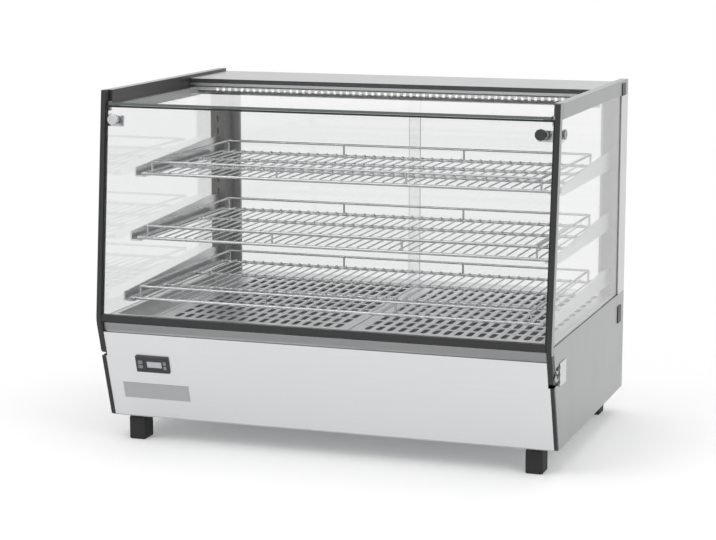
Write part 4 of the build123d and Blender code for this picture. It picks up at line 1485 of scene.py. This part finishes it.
@dataclass
class ControlUnit:
    """The controller with its window and keys, and the blank plate under it."""

    sizes: CaseSizes
    palette: Palette
    centre_x: float = -330.0
    rise: float = 110.0
    panel_inset: float = 1.9
    width: float = 66.0
    height: float = 33.0
    thick: float = 4.0
    spare: float = 2.0
    window_middle: float = 4.0
    window_half: Pair = (15.0, 6.5)
    window_gap: float = 0.25
    window_layer: Pair = (0.3, 3.0)
    case_half: Pair = (29.0, 12.5)
    case_layer: Pair = (-50.0, 0.2)
    key_half: float = 3.5
    key_gap: float = 0.25
    key_from: float = 1.8
    key_proud: float = 0.8
    keys: dict[Body, Triple] = field(
        default_factory=lambda: {
            Body.SET_KEY: (-23.5, 4.7, 9.0),
            Body.POWER_KEY: (-23.5, -4.7, 9.0),
            Body.UP_KEY: (25.5, 4.7, 6.0),
            Body.DOWN_KEY: (25.5, -4.7, 6.0),
        }
    )
    plate_x: float = -331.0
    plate_rise: float = 54.0
    plate_inset: float = 1.95
    plate_half: Pair = (66.0, 16.0)
    plate_thick: float = 0.8
    rivet_x: float = 61.5
    rivet_radius: float = 1.6
    rivet_layer: Pair = (0.4, 1.5)

    def frame_at(self, x: float, rise: float, inset: float) -> Matrix:
        """Finds a place on the leaning panel.

        Args:
            x: Millimetres to the right of the middle.
            rise: Height above the feet.
            inset: How far it lies behind the front line.

        Returns:
            A frame with X to the right, Y up the panel and Z outwards.
        """
        s, across = self.sizes, Vector((1, 0, 0))
        z = s.foot_height + rise
        up = s.panel_outward.cross(across)
        turn = Matrix((across, up, s.panel_outward)).transposed().to_4x4()
        return Matrix.Translation(metres((x, s.front_line(z) + inset, z))) @ turn

    @staticmethod
    def slab(
        name: str, middle: Pair, half: Pair, layer: Pair, edge: float, steps: int = 2
    ) -> Piece:
        """Makes a block in the panel's own frame.

        Args:
            name: Name of the block.
            middle: Its middle across and up the panel.
            half: Half its size in both directions.
            layer: How far out from the panel it starts and ends.
            edge: Rounding of its edges.
            steps: Faces across the rounding.

        Returns:
            The block.
        """
        (x, y), (w, h), (z0, z1) = middle, half, layer
        return Workbench.block(name, (x - w, y - h, z0), (x + w, y + h, z1), edge, steps)

    def build(self) -> None:
        """Builds and dresses the controller, its keys and the plate."""
        frame = self.frame_at(self.centre_x, self.rise, self.panel_inset)
        face, through = (0.0, self.thick), (-1.0, self.thick + self.spare)
        middle, window_at = (0.0, 0.0), (self.window_middle, 0.0)
        (w, h), gap = self.window_half, self.window_gap
        outline = (self.width / 2, self.height / 2)
        bezel = self.slab("bezel", middle, outline, face, edge=1.2, steps=3)
        gaps = [self.slab("gap", window_at, (w + gap, h + gap), through, edge=0.0)]
        gap = self.key_gap
        for x, y, k in self.keys.values():
            half = (k / 2 + gap, self.key_half + gap)
            gaps.append(self.slab("gap", (x, y), half, through, edge=0.0))
        Workbench.cut(bezel, gaps)
        case = self.slab("case", middle, self.case_half, self.case_layer, edge=0.5)
        housing = Workbench.place(Workbench.join("control_case", [bezel, case]), frame)
        self.palette.dress(housing, Slot.CONTROL, Body.CABINET, ["control_housing"])
        window = self.slab("display_pane", window_at, self.window_half, self.window_layer, edge=0.5)
        window = Workbench.place(window, frame)
        self.palette.dress(window, Slot.WINDOW, Body.CABINET, ["control_window"])
        layer = (self.key_from, self.thick + self.key_proud)
        for body, (x, y, k) in self.keys.items():
            half = (k / 2, self.key_half)
            key = self.slab(f"{body.value}_cap", (x, y), half, layer, edge=0.6, steps=3)
            key = Workbench.place(key, frame)
            self.palette.dress(key, Slot.KEY, body, [body.value])
        self.build_plate()

    def build_plate(self) -> None:
        """Builds and dresses the bare plate with its two rivets."""
        layer, (z0, z1) = (0.0, self.plate_thick), self.rivet_layer
        parts = [self.slab("plate", (0.0, 0.0), self.plate_half, layer, edge=0.3)]
        for x in (-self.rivet_x, self.rivet_x):
            start, end = (x, 0.0, z0), (x, 0.0, z1)
            parts.append(
                Workbench.rod("rivet", start, end, self.rivet_radius, sides=20, edge=0.5)
            )
        plate = Workbench.join("blank_rating_plate", parts)
        frame = self.frame_at(self.plate_x, self.plate_rise, self.plate_inset)
        plate = Workbench.place(plate, frame)
        self.palette.dress(plate, Slot.PLATE, Body.CABINET, ["blank_plate"])


@dataclass
class Fittings:
    """Feet, hinge leaves, catch screws and the screws of the back panel."""

    sizes: CaseSizes
    palette: Palette
    foot_x: Pair = (-385.0, 385.0)
    foot_y: Pair = (-210.0, 255.0)
    foot_half: Pair = (16.0, 20.0)
    foot_tall: float = 44.0
    collar_in: float = 1.5
    collar_heights: Pair = (42.0, 48.0)
    leaf_y: float = -218.1
    leaf_half: Pair = (22.5, 21.0)
    leaf_layer: Pair = (0.05, 2.05)
    head_layer: Pair = (1.0, 2.15)
    head_radius: float = 4.0
    head_apart: Pair = (-12.0, 12.0)
    finger_layer: Pair = (0.35, 1.85)
    finger_half: float = 2.6
    finger_bite: float = 1.0
    fingers: tuple[Pair, ...] = ((-13.5, 20.0), (0.0, 31.0), (13.5, 20.0))
    catch_z: float = 606.0
    catch_back: float = 39.0
    catch_reach: Pair = (429.05, 433.05)
    catch_radius: float = 9.0
    hex_reach: Pair = (431.4, 435.0)
    hex_radius: float = 3.4
    screw_depth: Pair = (297.6, 299.6)
    screw_radius: float = 4.2
    cross_depth: Pair = (298.9, 301.0)
    cross_half: Pair = (5.0, 0.55)
    screw_heights: Pair = (60.0, 174.0)
    screw_places: tuple[float, ...] = (-418.0, -209.0, 0.0, 418.0, 250.0)

    def build(self) -> None:
        """Builds and dresses the small fittings."""
        self.build_feet()
        self.build_hinges()
        self.build_catch_screws()
        self.build_back_screws()

    def build_feet(self) -> None:
        """Builds the four rubber feet with their collars."""
        (w, d), inner = self.foot_half, self.collar_in
        z0, z1 = self.collar_heights
        parts = []
        for x in self.foot_x:
            for y in self.foot_y:
                low, high = (x - w, y - d, 0.0), (x + w, y + d, self.foot_tall)
                parts.append(Workbench.block("foot", low, high, edge=3.0, steps=3))
                low, high = (x - w + inner, y - d + inner, z0), (x + w - inner, y + d - inner, z1)
                parts.append(Workbench.block("collar", low, high, edge=0.8))
        self.palette.dress(
            Workbench.join("rubber_feet", parts), Slot.RUBBER, Body.CABINET, ["feet"]
        )

    def build_hinges(self) -> None:
        """Builds the hinge leaves, each with two screw heads and three dark fingers; the upper and
        lower fingers are painted shade in the gaps between the leaf's fork ends.
        """
        side, y, z = self.sizes.half_width, self.leaf_y, self.sizes.pivot_z
        (d, h), (x0, x1) = self.leaf_half, (side + layer for layer in self.leaf_layer)
        low, high = (x0, y - d, z - h), (x1, y + d, z + h)
        parts = [Workbench.block("leaf", low, high, edge=0.9, steps=3)]
        x0, x1 = (side + layer for layer in self.head_layer)
        for apart in self.head_apart:
            start, end = (x0, y + apart, z), (x1, y + apart, z)
            head = Workbench.rod("screw", start, end, self.head_radius, sides=28, edge=0.6)
            parts.append(head)
        for part in parts:
            part.data.materials.append(self.palette.by_slot[Slot.CHROME])
        # Dark fingers: the upper and lower ones are painted shade in the gaps between the leaf's
        # fork ends.
        x0, x1 = (side + layer for layer in self.finger_layer)
        root, half = y - d + self.finger_bite, self.finger_half
        for rise, reach in self.fingers:
            low, high = (x0, root - reach, z + rise - half), (x1, root, z + rise + half)
            finger = Workbench.block("finger", low, high, edge=0.5)
            finger.data.materials.append(self.palette.by_slot[Slot.BLACK_TRIM])
            parts.append(finger)
        leaf = Workbench.join("right_hinge_leaf", parts)
        self.palette.dress_pair(
            leaf, "left_hinge_leaf", Slot.CHROME, Body.CABINET, ["hinge_leaves"]
        )

    def build_catch_screws(self) -> None:
        """Builds the two socket screws that hold the corner catches."""
        z = self.catch_z
        y = self.sizes.front_line(z) + self.catch_back
        (x0, x1), (hex0, hex1) = self.catch_reach, self.hex_reach
        start, end = (x0, y, z), (x1, y, z)
        head = Workbench.rod(
            "right_catch_screw", start, end, self.catch_radius, sides=40, edge=1.0, steps=3
        )
        socket = Workbench.rod("hex", (hex0, y, z), (hex1, y, z), self.hex_radius, sides=6)
        Workbench.cut(head, [socket])
        self.palette.dress_pair(
            head, "left_catch_screw", Slot.RAIL, Body.CABINET, ["catch_screws"]
        )

    def build_back_screws(self) -> None:
        """Builds the domed cross-slot screws along the edges of the back panel."""
        (y0, y1), (cut0, cut1) = self.screw_depth, self.cross_depth
        start, end = (0.0, y0, 0.0), (0.0, y1, 0.0)
        screw = Workbench.rod(
            "screw", start, end, self.screw_radius, sides=24, edge=1.1, steps=3
        )
        long, narrow = self.cross_half
        cross = [
            Workbench.block("slot", (-x, cut0, -z), (x, cut1, z), edge=0.0)
            for x, z in ((long, narrow), (narrow, long))
        ]
        Workbench.cut(screw, cross)
        moves = [(x, 0.0, z) for z in self.screw_heights for x in self.screw_places]
        row = Workbench.row("back_panel_screws", screw, moves)
        self.palette.dress(row, Slot.CHROME, Body.CABINET)


@dataclass
class RearDoors:
    """The two sliding glass doors at the back."""

    palette: Palette
    reach: float = 413.5
    lap: float = 30.0
    in_frame: float = 2.0
    half_thick: float = 2.0
    left_y: float = 285.167
    right_y: float = 294.833
    heights: Pair = (207.5, 636.9)

    def build(self) -> None:
        """Builds and dresses the two panes."""
        far, near = self.reach - self.in_frame, self.lap / 2 - self.in_frame
        z0, z1 = self.heights
        for body, x0, x1, y in (
            (Body.LEFT_REAR_DOOR, -far, near, self.left_y),
            (Body.RIGHT_REAR_DOOR, -near, far, self.right_y),
        ):
            y0, y1 = y - self.half_thick, y + self.half_thick
            pane = Workbench.block(f"{body.value}_pane", (x0, y0, z0), (x1, y1, z1), edge=0.5)
            self.palette.glaze(pane, 1)
            self.palette.dress(pane, Slot.GLASS, body, [f"{body.value}_glass"])


def dress_remaining(frame: dict[str, Any], palette: Palette) -> None:
    """Gives every CAD node that is still shown the finish of its record slot.

    Args:
        palette: The finishes.
    """
    slots = {row["node"]: row["material_slot"] for row in frame["record"]["subparts"]}
    for name, node in frame["nodes"].items():
        if node.hide_render:
            continue
        node.data.materials.clear()
        node.data.materials.append(palette.by_node.get(name, palette.by_slot[Slot(slots[name])]))
        log.info("%s keeps its solid", name)


@dataclass
class Studio:
    """Pale floor, soft lamps, white surroundings and the camera."""

    focal_px: float = 2089.65
    picture_px: float = 716.0
    azimuth: float = 18.822
    tilt: float = 9.929
    eye: Triple = (1253.5, -3723.9, 995.8)
    middle_px: float = 3.5
    floor_size: float = 40.0
    floor_tone: float = 0.9
    floor_lift: float = 0.16
    fade: Pair = (0.65, 1.5)
    world_light: float = 0.72
    aim: Triple = (0.0, 0.0, 0.3)
    lamps: tuple[tuple[str, Triple, float, float], ...] = (
        ("key_lamp", (-1.6, -2.6, 2.9), 2.2, 34.0),
        ("fill_lamp", (2.8, -1.8, 1.9), 2.2, 20.0),
        ("top_lamp", (0.3, 0.9, 3.2), 2.0, 16.0),
    )

    def build(self) -> None:
        """Builds everything that isn't the case."""
        self.build_floor()
        self.build_world()
        for lamp in self.lamps:
            self.add_lamp(*lamp)
        self.build_camera()
        bpy.context.scene.view_settings.view_transform = "Standard"

    def build_floor(self) -> None:
        """Builds the pale floor, which keeps the case's shadow and fades to white far out."""
        Workbench.clear()
        bpy.ops.mesh.primitive_plane_add(size=self.floor_size, location=(0, 0, 0))
        floor = bpy.context.object
        floor.name = "studio_floor"
        material, board, surface = open_material("pale_floor")
        pale = (self.floor_tone, self.floor_tone, self.floor_tone, 1.0)
        matt = board.add("ShaderNodeBsdfPrincipled", {"Base Color": pale, "Roughness": 0.9})
        lift = board.add("ShaderNodeEmission", {"Color": WHITE, "Strength": self.floor_lift})
        lit = board.add("ShaderNodeAddShader", {0: matt.outputs[0], 1: lift.outputs[0]})
        place = board.add("ShaderNodeTexCoord").outputs["Object"]
        away = board.add("ShaderNodeVectorMath", {0: place}, operation="LENGTH").outputs["Value"]
        fade = board.math("MULTIPLY", board.ramp(away, *self.fade), self.seen_rays(board))
        white = board.add("ShaderNodeEmission", {"Color": WHITE, "Strength": 1.0})
        board.link(board.choose(fade, lit.outputs[0], white.outputs[0]), surface)
        floor.data.materials.append(material)
        floor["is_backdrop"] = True

    @staticmethod
    def seen_rays(board: ShaderBoard) -> Socket:
        """Tells rays that are looked along from rays that light.

        Args:
            board: Board of the tree that asks.

        Returns:
            One for the eye's rays, in mirrors and through glass too, and nought for lighting.
        """
        rays = board.add("ShaderNodeLightPath").outputs
        seen = board.math("MAXIMUM", rays["Is Camera Ray"], rays["Is Glossy Ray"])
        return board.math("MAXIMUM", seen, rays["Is Transmission Ray"])

    def build_world(self) -> None:
        """Builds the surroundings: white to look at and mirror, softer as a light."""
        world = bpy.data.worlds.new("studio")
        bpy.context.scene.world = world
        world.use_nodes = True
        world.node_tree.nodes.clear()
        board = ShaderBoard(world.node_tree)
        soft, white = (
            board.add("ShaderNodeBackground", {"Color": WHITE, "Strength": strength}).outputs[0]
            for strength in (self.world_light, 1.0)
        )
        surface = board.add("ShaderNodeOutputWorld").inputs["Surface"]
        board.link(board.choose(self.seen_rays(board), soft, white), surface)

    def add_lamp(self, name: str, place: Triple, size: float, power: float) -> None:
        """Adds a soft square lamp that faces the case.

        Args:
            name: Name of the lamp.
            place: Where it hangs, in metres.
            size: Side of its square, in metres.
            power: Its power in watts.
        """
        Workbench.clear()
        bpy.ops.object.light_add(type="AREA", location=place)
        lamp = bpy.context.object
        lamp.name = name
        lamp.data.size = size
        lamp.data.energy = power
        toward = Vector(self.aim) - Vector(place)
        lamp.rotation_euler = toward.to_track_quat("-Z", "Y").to_euler()

    def build_camera(self) -> None:
        """Adds the camera at the picture's place and angle."""
        Workbench.clear()
        turn = (math.radians(90 - self.tilt), 0, math.radians(self.azimuth))
        bpy.ops.object.camera_add(location=metres(self.eye), rotation=turn)
        camera = bpy.context.object
        camera.name = "picture_camera"
        camera.data.lens = self.focal_px / self.picture_px * camera.data.sensor_width
        camera.data.shift_x = -self.middle_px / self.picture_px
        bpy.context.scene.camera = camera


def corners() -> list[list[float]]:
    """Lowest and highest corner of what is shown, as plain lists."""
    return [list(corner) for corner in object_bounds()]


def main() -> None:
    """Builds the case, dresses it and sets the studio round it."""
    logging.basicConfig(level=logging.INFO)
    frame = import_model()
    sizes = CaseSizes()
    palette = Palette()
    FrontDoor(sizes, palette).build()
    Glazing(sizes, palette).build()
    shelves = (("lower", 267.0, 76.0), ("middle", 376.0, 111.0), ("upper", 494.0, 136.0))
    for name, base, inset in shelves:
        WireShelf(name, base, inset, sizes, palette).build()
    Deck(sizes, palette).build()
    ControlUnit(sizes, palette).build()
    Fittings(sizes, palette).build()
    RearDoors(palette).build()
    dress_remaining(frame, palette)
    Studio().build()
    Workbench.clear()


if __name__ == "__main__":
    main()
